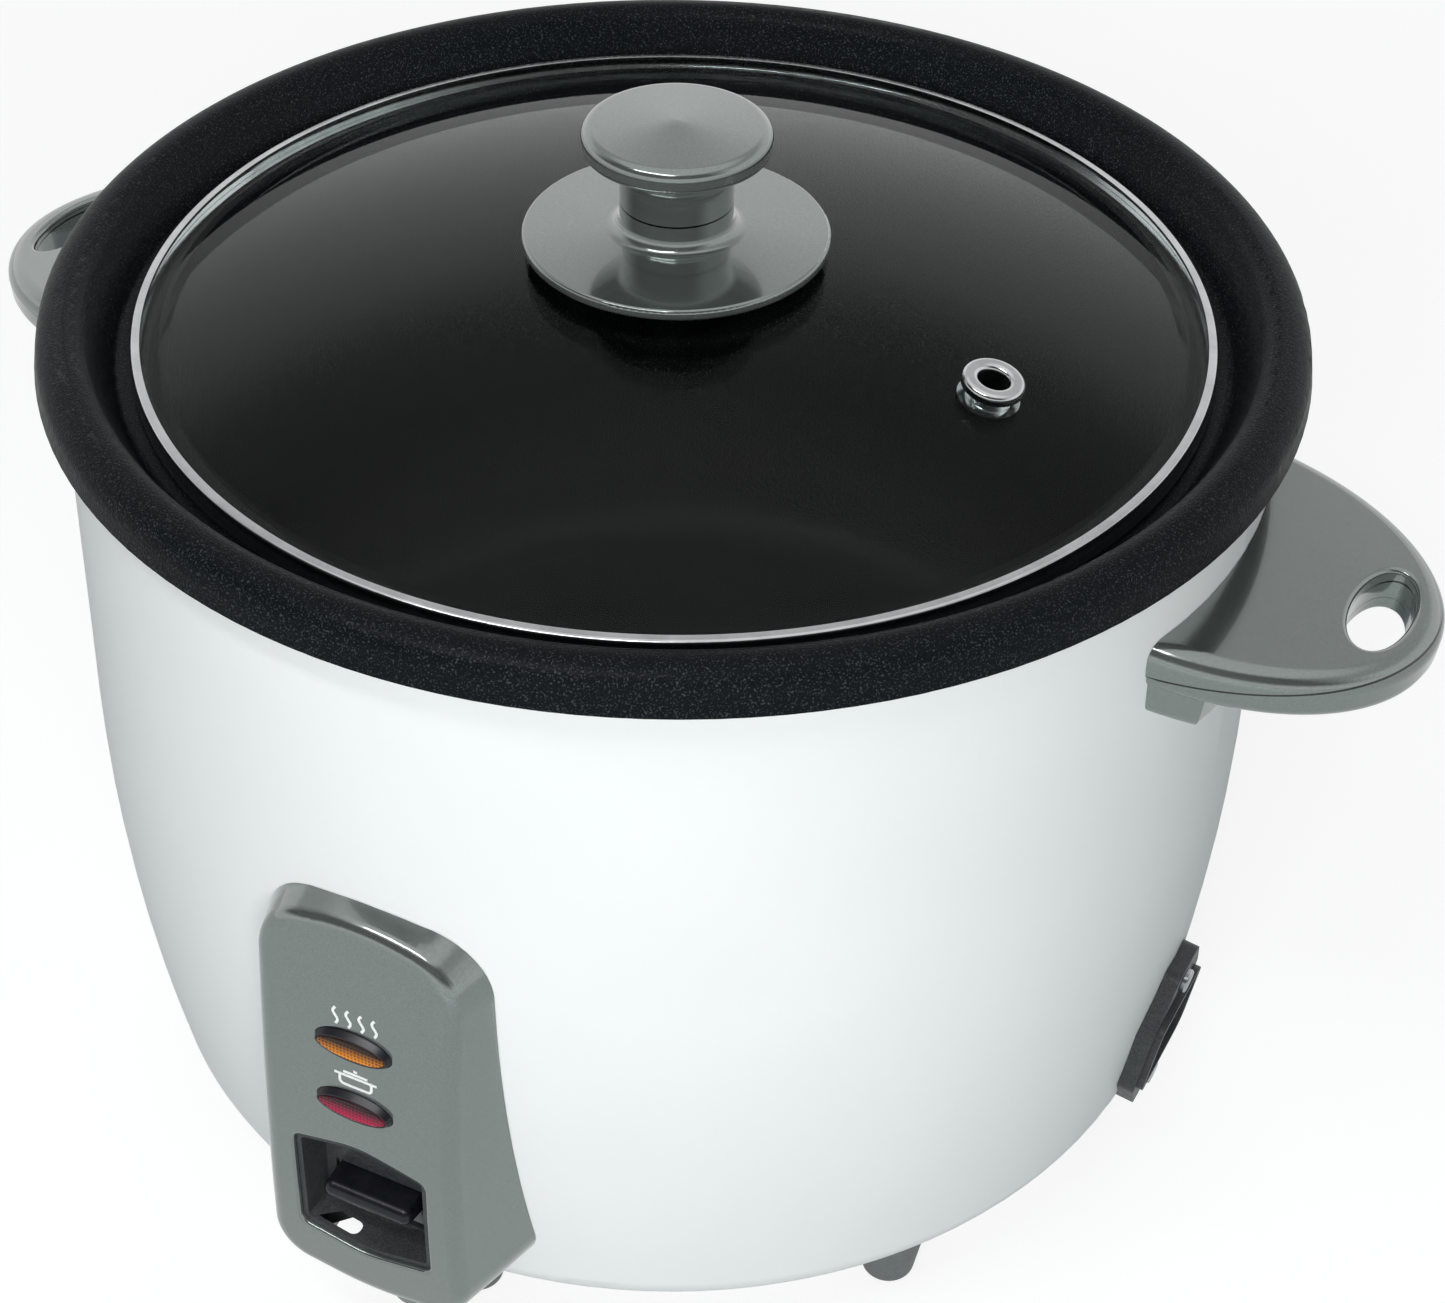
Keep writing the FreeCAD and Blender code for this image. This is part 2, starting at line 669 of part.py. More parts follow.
def post_places():
    return [azimuth_place(PLATE_POST_CIRCLE, a) for a in PLATE_POST_AZIMUTHS]


def leg_places():
    """Where the element's two ends turn down, either side of the gap in its ring."""
    gap = (360.0 - ELEMENT_SWEEP) / 2.0
    return [azimuth_place(ELEMENT_RADIUS, 180.0 + side * gap) for side in (-1, 1)]


def make_inner_liner():
    points = (
        (SHELL_INNER_AT_FLANGE - SEAT_GAP, LINER_FLANGE_Z),
        (LINER_RADIUS, LINER_FLANGE_Z),
        (LINER_RADIUS, LINER_FLOOR_Z),
        (LINER_HOLE_RADIUS, LINER_FLOOR_Z),
    )
    radii = (0.0, LINER_FLANGE_ROUND, LINER_CORNER, 0.0)
    liner = spun_sheet(points, radii, LINER_WALL)
    tools = [
        disc(PLATE_SCREW[2] + SCREW_CLEARANCE, 0, LINER_FLANGE_Z, x, y) for x, y in post_places()
    ]
    tools += [
        disc(ELEMENT_TUBE_RADIUS + LEG_HOLE_CLEARANCE, 0, LINER_FLANGE_Z, x, y) for x, y in leg_places()
    ]
    return cut_all(liner, tools)


def make_heating_plate():
    points = (
        (PLATE_HOLE_RADIUS, PLATE_UNDER_Z),
        (PLATE_RADIUS, PLATE_UNDER_Z),
        (PLATE_RADIUS, PLATE_TOP_Z),
        (PLATE_HOLE_RADIUS, PLATE_TOP_Z),
    )
    plate = spun_solid(points, (0.0, 0.0, PLATE_EDGE_ROUND, 0.0))
    posts = [disc(PLATE_POST_RADIUS, LINER_FLOOR_Z, PLATE_UNDER_Z, x, y) for x, y in post_places()]
    plate = plate.multiFuse(posts)
    depth = LINER_UNDER_Z - SEAT_GAP + PLATE_SCREW[3] + SEAT_GAP
    bores = [disc(PLATE_SCREW[2] + PIN_CLEARANCE, LINER_UNDER_Z, depth, x, y) for x, y in post_places()]
    return cut_all(plate, bores)


def make_plate_screws():
    return Part.makeCompound([
        placed(screw(PLATE_SCREW), vec(x, y, LINER_UNDER_Z - SEAT_GAP), UP) for x, y in post_places()
    ])


def make_heating_element():
    z = PLATE_UNDER_Z - SEAT_GAP - ELEMENT_TUBE_RADIUS
    start = vec(*leg_places()[1], z)
    along = start.cross(UP).cross(UP).cross(UP)
    section = Part.Wire(Part.Circle(start, along, ELEMENT_TUBE_RADIUS).toShape())
    ring = Part.Face(section).revolve(ORIGIN, UP, ELEMENT_SWEEP)
    legs = []
    for x, y in leg_places():
        legs.append(disc(ELEMENT_TUBE_RADIUS, z - ELEMENT_LEG_LENGTH, z, x, y))
        legs.append(Part.makeSphere(ELEMENT_TUBE_RADIUS, vec(x, y, z)))
    return ring.multiFuse(legs).removeSplitter()


# Temperature sensor

SLEEVE_TOP_Z = PLATE_UNDER_Z - SEAT_GAP
SLEEVE_UNDER_Z = SLEEVE_TOP_Z - SLEEVE_DEPTH
SLEEVE_FLOOR_Z = SLEEVE_UNDER_Z + SLEEVE_WALL
CAP_RADIUS = SLEEVE_RADIUS - SLEEVE_WALL - LOOSE_GAP
CAP_TOP_Z = PLATE_TOP_Z
CAP_UNDER_Z = CAP_TOP_Z - CAP_WALL
FERRITE_UNDER_Z = CAP_UNDER_Z - FERRITE_THICKNESS
LEVER_LIFT = PIVOT_REACH * math.sin(math.radians(LEVER_PRESS_ANGLE))
MAGNET_TOP_Z = FERRITE_UNDER_Z - SEAT_GAP - LATCH_GAP - LEVER_LIFT
TAIL_TOP_Z = LINER_UNDER_Z - LEVER_TAIL_DROP + LEVER_THICKNESS
ROD_UNDER_Z = TAIL_TOP_Z + ROD_PLAY


def make_sensor_sleeve():
    points = (
        (SLEEVE_FLANGE_RADIUS, SLEEVE_TOP_Z),
        (SLEEVE_RADIUS - SLEEVE_WALL, SLEEVE_TOP_Z),
        (SLEEVE_RADIUS - SLEEVE_WALL, SLEEVE_FLOOR_Z),
        (ROD_RADIUS + PIN_CLEARANCE, SLEEVE_FLOOR_Z),
        (ROD_RADIUS + PIN_CLEARANCE, SLEEVE_UNDER_Z),
        (SLEEVE_RADIUS, SLEEVE_UNDER_Z),
        (SLEEVE_RADIUS, SLEEVE_TOP_Z - SLEEVE_FLANGE_THICKNESS),
        (SLEEVE_FLANGE_RADIUS, SLEEVE_TOP_Z - SLEEVE_FLANGE_THICKNESS),
    )
    return spun_solid(points, (0.0,) * len(points))


def make_sensor_cap():
    points = (
        (0, CAP_UNDER_Z),
        (CAP_RADIUS - CAP_WALL, CAP_UNDER_Z),
        (CAP_RADIUS - CAP_WALL, CAP_TOP_Z - CAP_HEIGHT),
        (CAP_RADIUS, CAP_TOP_Z - CAP_HEIGHT),
        (CAP_RADIUS, CAP_TOP_Z),
        (0, CAP_TOP_Z),
    )
    return spun_solid(points, (0.0, 0.0, 0.0, 0.0, CAP_WALL, 0.0))


def make_ferrite_disc():
    return disc(FERRITE_RADIUS, FERRITE_UNDER_Z, CAP_UNDER_Z - SEAT_GAP)


def make_magnet():
    magnet = disc(MAGNET_RADIUS, MAGNET_TOP_Z - MAGNET_THICKNESS, MAGNET_TOP_Z)
    return magnet.cut(disc(MAGNET_HOLE_RADIUS + PIN_CLEARANCE, 0, FAR))


def make_magnet_rod():
    shoulder_z = MAGNET_TOP_Z - MAGNET_THICKNESS - SEAT_GAP
    rod = disc(ROD_RADIUS, ROD_UNDER_Z, shoulder_z)
    return rod.fuse(disc(MAGNET_HOLE_RADIUS, shoulder_z, MAGNET_TOP_Z)).removeSplitter()


def make_sensor_spring():
    """A coil of half turns, each a level-ended arc, between the sleeve's floor and the cap."""
    low = SLEEVE_FLOOR_Z + SPRING_WIRE_RADIUS + SEAT_GAP
    high = CAP_UNDER_Z - SPRING_WIRE_RADIUS - SEAT_GAP
    step = (high - low) / (2.0 * SPRING_TURNS)
    edges = []
    for i in range(2 * SPRING_TURNS):
        side = 1.0 if i % 2 == 0 else -1.0
        z = low + i * step
        start = vec(side * SPRING_RADIUS, 0, z)
        middle = vec(0, side * SPRING_RADIUS, z + step / 2.0)
        end = vec(-side * SPRING_RADIUS, 0, z + step)
        edges.append(Part.Arc(start, middle, end).toShape())
    section = Part.Wire(Part.Circle(vec(SPRING_RADIUS, 0, low), vec(0, 1, 0), SPRING_WIRE_RADIUS).toShape())
    return Part.Wire(edges).makePipeShell([section], True, False)


# Cook switch


def lever_outline():
    """Side view of the lever strip's underside, from the paddle to the tail, as (y, z) points."""
    run_z = LINER_UNDER_Z - LEVER_RUN_DROP - LEVER_THICKNESS
    tail_z = TAIL_TOP_Z - LEVER_THICKNESS
    knee_y = -(LINER_RADIUS + LINER_WALL - LEVER_KNEE_INSET)
    root_y = -drum_radius(PADDLE_FRONT_Z) - SHELL_WALL
    points = (
        (root_y, run_z + LEVER_RISE),
        (knee_y, run_z),
        (-LEVER_TAIL_LENGTH - LEVER_TAIL_SLOPE, run_z),
        (-LEVER_TAIL_LENGTH, tail_z),
        (LEVER_TAIL_END, tail_z),
    )
    return points, (0.0, LEVER_BEND, LEVER_BEND, LEVER_BEND, 0.0)


def ear(x0, x1, top_z):
    """One ear of a pivot: a strip down to the pin with a round end."""
    plate = block(x0, x1, -PIVOT_REACH - PIVOT_EAR_RADIUS, -PIVOT_REACH + PIVOT_EAR_RADIUS, PIVOT_Z, top_z)
    end = Part.makeCylinder(PIVOT_EAR_RADIUS, x1 - x0, vec(x0, -PIVOT_REACH, PIVOT_Z), vec(1, 0, 0))
    return plate.fuse(end).removeSplitter()


def pivot_bore():
    return Part.makeCylinder(PIVOT_PIN_RADIUS + PIN_CLEARANCE, FAR,
                             vec(-FAR / 2.0, -PIVOT_REACH, PIVOT_Z), vec(1, 0, 0))


def make_lever_arm():
    points, radii = lever_outline()
    upper, upper_radii = offset_path(points, radii, LEVER_THICKNESS)
    place = lambda p: vec(-LEVER_WIDTH / 2.0, p[0], p[1])
    edges = path_edges(points, radii, place) + path_edges(upper, upper_radii, place)
    edges.append(Part.LineSegment(place(points[0]), place(upper[0])).toShape())
    edges.append(Part.LineSegment(place(points[-1]), place(upper[-1])).toShape())
    strip = Part.Face(Part.Wire(Part.__sortEdges__(edges))).extrude(vec(LEVER_WIDTH, 0, 0))
    top_z = points[1][1] + LEVER_THICKNESS
    half = LEVER_WIDTH / 2.0
    ears = [ear(half - LEVER_THICKNESS, half, top_z), ear(-half, -half + LEVER_THICKNESS, top_z)]
    return strip.multiFuse(ears).removeSplitter().cut(pivot_bore())


def make_switch_bracket():
    inner = LEVER_WIDTH / 2.0 + PIVOT_SIDE_GAP
    outer = inner + BRACKET_THICKNESS
    top_z = LINER_UNDER_Z - SEAT_GAP
    half = BRACKET_LENGTH / 2.0
    web = block(-outer, outer, -PIVOT_REACH - half, -PIVOT_REACH + half, top_z - BRACKET_THICKNESS, top_z)
    ears = [ear(inner, outer, top_z), ear(-outer, -inner, top_z)]
    return web.multiFuse(ears).removeSplitter().cut(pivot_bore())


def make_pivot_pin():
    half = LEVER_WIDTH / 2.0 + PIVOT_SIDE_GAP + BRACKET_THICKNESS + SEAT_GAP
    start = vec(-half, -PIVOT_REACH, PIVOT_Z)
    pin = Part.makeCylinder(PIVOT_PIN_RADIUS, 2.0 * half, start, vec(1, 0, 0))
    heads = []
    for side in (-1, 1):
        base = vec(side * half, -PIVOT_REACH, PIVOT_Z)
        heads.append(Part.makeCylinder(PIVOT_PIN_RADIUS * 1.5, BRACKET_THICKNESS, base, vec(side, 0, 0)))
    return pin.multiFuse(heads).removeSplitter()


def paddle_root_y():
    """Where the paddle's neck meets the end of the lever strip, outside the drum."""
    return lever_outline()[0][0][0]


def paddle_front_y():
    return panel_face_y(PADDLE_FRONT_Z) + PADDLE_RECESS


def paddle_root_z():
    """Underside of the paddle where it lies on the lever strip."""
    return lever_outline()[0][0][1] + LEVER_THICKNESS + SEAT_GAP


def between(y, front_z, back_y, back_z):
    """Height on the straight line from the paddle's front to a point at its back."""
    front_y = paddle_front_y() + PADDLE_THICKNESS / 2.0
    share = (y - front_y) / (back_y - front_y)
    return front_z + share * (back_z - front_z)


def paddle_under_z(y):
    return between(y, PADDLE_FRONT_Z - PADDLE_THICKNESS / 2.0, paddle_root_y(), paddle_root_z())


def paddle_top_z(y):
    back_z = paddle_root_z() + PADDLE_THICKNESS + PADDLE_ROOT_RISE
    return between(y, PADDLE_FRONT_Z + PADDLE_THICKNESS / 2.0, paddle_root_y() + PADDLE_THICKNESS, back_z)


def press_drop(y):
    """How far the lever goes down at a place when it is pressed."""
    return (-y - PIVOT_REACH) * math.sin(math.radians(LEVER_PRESS_ANGLE))


def make_lever_paddle():
    """The finger paddle: a round-ended bar on a tongue that droops towards the panel's face."""
    bar_radius = PADDLE_THICKNESS / 2.0
    bar_y = paddle_front_y() + bar_radius
    bar_half = PADDLE_WIDTH / 2.0 - bar_radius
    start = vec(-bar_half, bar_y, PADDLE_FRONT_Z)
    bar = [Part.makeCylinder(bar_radius, 2.0 * bar_half, start, vec(1, 0, 0))]
    for side in (-1, 1):
        bar.append(Part.makeSphere(bar_radius, vec(side * bar_half, bar_y, PADDLE_FRONT_Z)))
    root_y = paddle_root_y()
    back_y = root_y + PADDLE_THICKNESS
    points = (
        (back_y, paddle_root_z()),
        (back_y, paddle_top_z(back_y)),
        (bar_y, PADDLE_FRONT_Z + bar_radius),
        (bar_y, PADDLE_FRONT_Z - bar_radius),
        (root_y, paddle_root_z()),
    )
    tongue_half = PADDLE_WIDTH / 2.0 - PADDLE_SIDE_STEP
    place = lambda p: vec(-tongue_half, p[0], p[1])
    tongue = prism(points, (0.0, PADDLE_ROUND, 0.0, 0.0, 0.0), place, vec(2.0 * tongue_half, 0, 0))
    return tongue.multiFuse(bar).removeSplitter()


def make_microswitch():
    width, length, height = SWITCH_BODY
    top_z = LINER_UNDER_Z - SEAT_GAP
    x0 = LEVER_WIDTH / 2.0 + PIVOT_SIDE_GAP + 2.0 * BRACKET_THICKNESS
    y0 = -PIVOT_REACH - BRACKET_LENGTH / 2.0 - length - PIVOT_SIDE_GAP
    body = block(x0, x0 + width, y0, y0 + length, top_z - height, top_z)
    button = disc(SWITCH_BUTTON_RADIUS, top_z - height - SWITCH_BUTTON_HEIGHT, top_z - height,
                  x0 + width / 2.0, y0 + length / 4.0)
    return body.fuse(button).removeSplitter()


def make_warm_thermostat():
    x, y = THERMOSTAT_PLACE
    length, width, thickness = THERMOSTAT_EAR
    top_z = LINER_UNDER_Z - SEAT_GAP
    plate = block(x - length / 2.0, x + length / 2.0, y - width / 2.0, y + width / 2.0,
                  top_z - thickness, top_z)
    return plate.fuse(disc(THERMOSTAT_RADIUS, top_z - THERMOSTAT_HEIGHT, top_z, x, y)).removeSplitter()


def make_thermal_fuse():
    x, y = FUSE_PLACE
    z = LINER_UNDER_Z - SEAT_GAP - FUSE_RADIUS
    return Part.makeCylinder(FUSE_RADIUS, FUSE_LENGTH, vec(x - FUSE_LENGTH / 2.0, y, z), vec(1, 0, 0))


# Switch panel


def panel_outline(y, inset):
    """Panel outline on an upright plane: it flares towards the drum and is drawn in by inset."""
    depth = y + PANEL_REACH
    side = depth * PANEL_SIDE_FLARE - inset
    top = depth * PANEL_TOP_FLARE - inset
    low = depth * PANEL_BOTTOM_FLARE - inset
    top_half = PANEL_TOP_HALF + side
    low_half = PANEL_BOTTOM_HALF + side
    top_z = PANEL_TOP_Z + top
    low_z = PANEL_BOTTOM_Z - low
    points = (
        (-low_half, low_z),
        (0, low_z - PANEL_BOTTOM_SAG),
        (low_half, low_z),
        (top_half, top_z),
        (0, top_z + PANEL_ARCH),
        (-top_half, top_z),
    )
    low_round = PANEL_BOTTOM_CORNER - inset
    top_round = PANEL_TOP_CORNER + depth * PANEL_CORNER_FLARE - inset
    radii = (low_round, PANEL_ARCH_ROUND, low_round, top_round, PANEL_ARCH_ROUND, top_round)
    edges = path_edges(points, radii, facing(y), closed=True)
    return Part.Wire(Part.__sortEdges__(edges))


def panel_body(inset):
    """The panel's flared block with its swollen front, drawn in by inset."""
    front = panel_outline(-PANEL_REACH - inset, inset)
    back = panel_outline(-LINER_RADIUS, inset)
    block_body = Part.makeLoft([front, back], True, True)
    centre = vec(-FAR / 2.0, PANEL_FACE_RADIUS - PANEL_REACH, PANEL_FACE_CENTRE_Z)
    swell = Part.makeCylinder(PANEL_FACE_RADIUS - inset, FAR, centre, vec(1, 0, 0))
    return block_body.common(swell)


def front_edges(shape):
    """Edges that bound the panel's swollen front, which may lie in two faces with a seam between."""
    faces = [f for f in shape.Faces if isinstance(f.Surface, Part.Cylinder)
             and abs(f.Surface.Radius - PANEL_FACE_RADIUS) < 1e-6]
    edges = [e for f in faces for e in f.Edges]
    return [e for e in edges if sum(e.isSame(other) for other in edges) == 1]


def window_points(growth):
    half = WINDOW_HALF_WIDTH + growth
    low = WINDOW_BOTTOM_Z - growth
    high = WINDOW_BOTTOM_Z + WINDOW_HEIGHT + growth
    points = (
        (-half, low),
        (0, low - WINDOW_BOTTOM_SAG),
        (half, low),
        (half, high),
        (0, high + WINDOW_TOP_ARCH),
        (-half, high),
    )
    corner = max(WINDOW_CORNER + growth, 0.0)
    return points, (corner, WINDOW_ARCH_ROUND, corner, corner, WINDOW_ARCH_ROUND, corner)


def oval(half_length, half_height, z, y):
    """An upright oval outline across the front."""
    edge = Part.Ellipse(ORIGIN, half_length, half_height).toShape()
    edge.rotate(ORIGIN, vec(1, 0, 0), 90)
    edge.translate(vec(0, y, z))
    return Part.Wire(edge)


def oval_bar(half_length, half_height, z, y0, y1):
    """An upright oval drawn out from y0 to y1."""
    return Part.Face(oval(half_length, half_height, z, y0)).extrude(vec(0, y1 - y0, 0))


def window_rim(body):
    """Edges of the switch window on the panel's front."""
    low = WINDOW_BOTTOM_Z - WINDOW_BOTTOM_SAG
    high = WINDOW_BOTTOM_Z + WINDOW_HEIGHT + WINDOW_TOP_ARCH
    middles = [(e, e.CenterOfMass) for e in front_edges(body)]
    return [e for e, m in middles if abs(m.x) < WINDOW_HALF_WIDTH + SEAT_GAP and low < m.z < high]


def panel_front():
    """The panel's full block with its lamp windows and its switch window, whose edge is rounded."""
    body = panel_body(0.0)
    body = body.makeFillet(PANEL_EDGE_ROUND, front_edges(body))
    points, radii = window_points(0.0)
    body = body.cut(prism(points, radii, facing(-FAR), vec(0, FAR - drum_radius(WINDOW_BOTTOM_Z), 0)))
    body = body.makeFillet(WINDOW_EDGE_ROUND, window_rim(body))
    lamps = [oval_bar(LAMP_HALF_LENGTH, LAMP_HALF_HEIGHT, z, -FAR, -drum_radius(z)) for z in LAMP_HEIGHTS]
    return cut_all(body, lamps)


def make_panel_housing():
    hollow = panel_front().cut(panel_body(PANEL_WALL))
    bosses = []
    for x, z in PANEL_BOSSES:
        start = vec(x, panel_face_y(z, PANEL_WALL / 2.0), z)
        bosses.append(Part.makeCylinder(PANEL_BOSS_RADIUS, -LINER_RADIUS - start.y, start, vec(0, 1, 0)))
    hollow = hollow.multiFuse(bosses)
    tools = [block(OUTLET_LEFT, OUTLET_LEFT + OUTLET_LENGTH, OUTLET_INSET - PANEL_REACH, 0,
                   0, PANEL_BOTTOM_Z + PANEL_WALL)]
    for base, direction in panel_screw_axes():
        hole_radius = CASE_SCREW[2] + PIN_CLEARANCE
        tools.append(Part.makeCylinder(hole_radius, CASE_SCREW[3] + SEAT_GAP, base, direction))
    tools.append(drum_solid(SEAT_GAP))
    return cut_all(hollow, tools)


def make_panel_screws():
    return Part.makeCompound([placed(screw(CASE_SCREW), base, axis) for base, axis in panel_screw_axes()])


def well_outline(growth, y, depth):
    """Outline of the switch well on an upright plane: it narrows as it goes deeper."""
    share = depth / WELL_DEPTH
    points, radii = window_points(growth)
    middle_z = WINDOW_BOTTOM_Z + WINDOW_HEIGHT / 2.0
    moved = []
    for x, z in points:
        lift = WELL_FLOOR_TAPER if z < middle_z else -WELL_ROOF_TAPER
        moved.append((x * (1.0 - share * WELL_SIDE_TAPER / WINDOW_HALF_WIDTH), z + share * lift))
    return Part.Wire(Part.__sortEdges__(path_edges(moved, radii, facing(y), closed=True)))


def make_switch_well():
    """Dark recess behind the switch window: tapered walls, a slot for the paddle and a drain slot."""
    front_y = panel_face_y(WINDOW_BOTTOM_Z) + WELL_RECESS
    back_y = front_y + WELL_DEPTH
    wall_y = back_y - WELL_WALL
    outer = Part.makeLoft([well_outline(-SEAT_GAP, front_y, 0.0),
                           well_outline(-SEAT_GAP, back_y, WELL_DEPTH)], True, True)
    inner = Part.makeLoft([well_outline(-SEAT_GAP - WELL_WALL, front_y, 0.0),
                           well_outline(-SEAT_GAP - WELL_WALL, wall_y, WELL_DEPTH - WELL_WALL)], True, True)
    half = PADDLE_WIDTH / 2.0 + LOOSE_GAP
    low = paddle_under_z(back_y) - press_drop(wall_y) - LOOSE_GAP
    high = paddle_top_z(back_y) + LOOSE_GAP
    slot = block(-half, half, wall_y - SEAT_GAP, 0, low, high)
    drain_y = front_y + DRAIN_INSET
    drain_right = DRAIN_LEFT + DRAIN_LENGTH
    drain_top = WINDOW_BOTTOM_Z + WELL_WALL
    drain = block(DRAIN_LEFT, drain_right, drain_y, drain_y + DRAIN_WIDTH, 0, drain_top)
    ends = [e for e in drain.Edges if abs(e.BoundBox.ZLength - drain.BoundBox.ZLength) < 1e-6]
    drain = drain.makeFillet(DRAIN_WIDTH / 2.0 - SEAT_GAP, ends)
    return outer.cut(inner).cut(slot).cut(drain)


def frame_back_y(z):
    """Back of a lamp frame's flange, which lies behind the panel's front wall."""
    return panel_face_y(z, PANEL_WALL) + 2.0 * SEAT_GAP + FRAME_FLANGE_THICKNESS + frame_slack(z)


def frame_slack(z):
    """Extra depth so that a flat flange clears the swollen wall over its height."""
    reach = LAMP_HALF_HEIGHT + FRAME_FLANGE
    return abs(panel_face_y(z + reach, PANEL_WALL) - panel_face_y(z, PANEL_WALL))


def make_lamp_frames():
    """Dark bezels: each fills its window and carries a tapered nose with the lens in it."""
    frames = []
    for z in LAMP_HEIGHTS:
        face_y = panel_face_y(z)
        back_y = frame_back_y(z)
        length = LAMP_HALF_LENGTH - SEAT_GAP
        height = LAMP_HALF_HEIGHT - SEAT_GAP
        plug = oval_bar(length, height, z, face_y, back_y)
        tip = oval(LENS_HALF_LENGTH + FRAME_RIM, LENS_HALF_HEIGHT + FRAME_RIM, z, face_y - FRAME_PROUD)
        nose = Part.makeLoft([tip, oval(length, height, z, face_y)], True, True)
        flange = oval_bar(length + FRAME_FLANGE, height + FRAME_FLANGE, z,
                          back_y - FRAME_FLANGE_THICKNESS, back_y)
        hole = oval_bar(LENS_HALF_LENGTH + SEAT_GAP, LENS_HALF_HEIGHT + SEAT_GAP, z, -FAR, 0)
        frames.append(plug.multiFuse([nose, flange]).removeSplitter().cut(hole))
    return Part.makeCompound(frames)


def make_lens(z):
    """A lens that fills its bezel and stands a little proud of it."""
    front_y = panel_face_y(z) - FRAME_PROUD - LENS_PROUD
    bar = oval_bar(LENS_HALF_LENGTH, LENS_HALF_HEIGHT, z, front_y, frame_back_y(z))
    rim = [e for e in bar.Edges if e.BoundBox.YMax < front_y + LENS_PROUD / 2.0]
    return bar.makeFillet(LENS_ROUND, rim)


def holder_front_y():
    return max(frame_back_y(z) for z in LAMP_HEIGHTS) + SEAT_GAP


def make_lamp_holder():
    y0 = holder_front_y()
    low = min(LAMP_HEIGHTS) - HOLDER_MARGIN
    high = max(LAMP_HEIGHTS) + HOLDER_MARGIN
    body = block(-HOLDER_HALF_WIDTH, HOLDER_HALF_WIDTH, y0, y0 + HOLDER_DEPTH, low, high)
    tools = []
    for z in LAMP_HEIGHTS:
        start = vec(-HOLDER_HALF_WIDTH, y0 + NEON_RADIUS, z)
        tools.append(Part.makeCylinder(NEON_RADIUS + SEAT_GAP, 2.0 * HOLDER_HALF_WIDTH, start, vec(1, 0, 0)))
    return cut_all(body, tools)


def make_indicator_lamps():
    y = holder_front_y() + NEON_RADIUS
    start_x = -NEON_LENGTH / 2.0
    return Part.makeCompound([
        Part.makeCylinder(NEON_RADIUS, NEON_LENGTH, vec(start_x, y, z), vec(1, 0, 0)) for z in LAMP_HEIGHTS
    ])


# Mains inlet


def make_inlet_shroud():
    corners = (
        (-INLET_FLANGE_HALF_WIDTH, -INLET_FLANGE_WAIST),
        (-INLET_FLANGE_END, -INLET_FLANGE_HALF_HEIGHT),
        (INLET_FLANGE_END, -INLET_FLANGE_HALF_HEIGHT),
        (INLET_FLANGE_HALF_WIDTH, -INLET_FLANGE_WAIST),
        (INLET_FLANGE_HALF_WIDTH, INLET_FLANGE_WAIST),
        (INLET_FLANGE_END, INLET_FLANGE_HALF_HEIGHT),
        (-INLET_FLANGE_END, INLET_FLANGE_HALF_HEIGHT),
        (-INLET_FLANGE_HALF_WIDTH, INLET_FLANGE_WAIST),
    )
    depth = INLET_DEPTH + INLET_WALL
    flange = prism(corners, (INLET_FLANGE_ROUND,) * 8, level, vec(0, 0, depth + INLET_FLANGE_THICKNESS))
    flange.translate(vec(0, 0, -depth))
    flange = in_inlet_frame(flange).cut(drum_solid(SEAT_GAP))
    can = in_inlet_frame(inlet_can(0.0, -depth, INLET_COLLAR_HEIGHT))
    recess = in_inlet_frame(inlet_can(-INLET_WALL, -INLET_DEPTH, INLET_COLLAR_HEIGHT + INLET_WALL))
    shroud = flange.fuse(can).removeSplitter().cut(recess)
    holes = []
    for side in (-1, 1):
        hole_radius = INLET_SCREW[2] + PIN_CLEARANCE
        hole = disc(hole_radius, -depth, INLET_COLLAR_HEIGHT, 0, side * INLET_SCREW_OFFSET)
        holes.append(in_inlet_frame(hole))
    return cut_all(shroud, holes)


def make_inlet_pins():
    width, thickness, length = INLET_PIN
    pins = []
    for x, y in INLET_PIN_PLACES:
        upright_pin = x == 0.0
        half_x = thickness / 2.0 if upright_pin else width / 2.0
        half_y = width / 2.0 if upright_pin else thickness / 2.0
        floor = SEAT_GAP - INLET_DEPTH
        pin = block(x - half_x, x + half_x, y - half_y, y + half_y, floor, floor + length)
        pins.append(in_inlet_frame(pin))
    return Part.makeCompound(pins)


def make_inlet_screws():
    screws = []
    for side in (-1, 1):
        seat = vec(0, side * INLET_SCREW_OFFSET, INLET_FLANGE_THICKNESS + SEAT_GAP)
        screws.append(in_inlet_frame(placed(screw(INLET_SCREW), seat, vec(0, 0, -1))))
    return Part.makeCompound(screws)


# Handles, built on the +X side


def grip(z0, z1, inset=0.0):
    """Oval grip plate, before it is trimmed to the drum."""
    edge = Part.Ellipse(ORIGIN, HANDLE_REACH - inset, HANDLE_HALF_WIDTH - inset).toShape()
    edge.translate(vec(HANDLE_CENTRE, 0, z0))
    return Part.Face(Part.Wire(edge)).extrude(vec(0, 0, z1 - z0))


def grip_slot():
    edge = Part.Ellipse(ORIGIN, SLOT_HALF_LENGTH, SLOT_HALF_WIDTH).toShape()
    edge.rotate(ORIGIN, UP, 90)
    edge.translate(vec(HANDLE_TIP - SLOT_INSET, 0, 0))
    return Part.Face(Part.Wire(edge)).extrude(vec(0, 0, FAR))


def edges_at(shape, z):
    """Edges that lie flat at one height."""
    return [e for e in shape.Edges if abs(e.BoundBox.ZMin - z) < 1e-6 and abs(e.BoundBox.ZMax - z) < 1e-6]


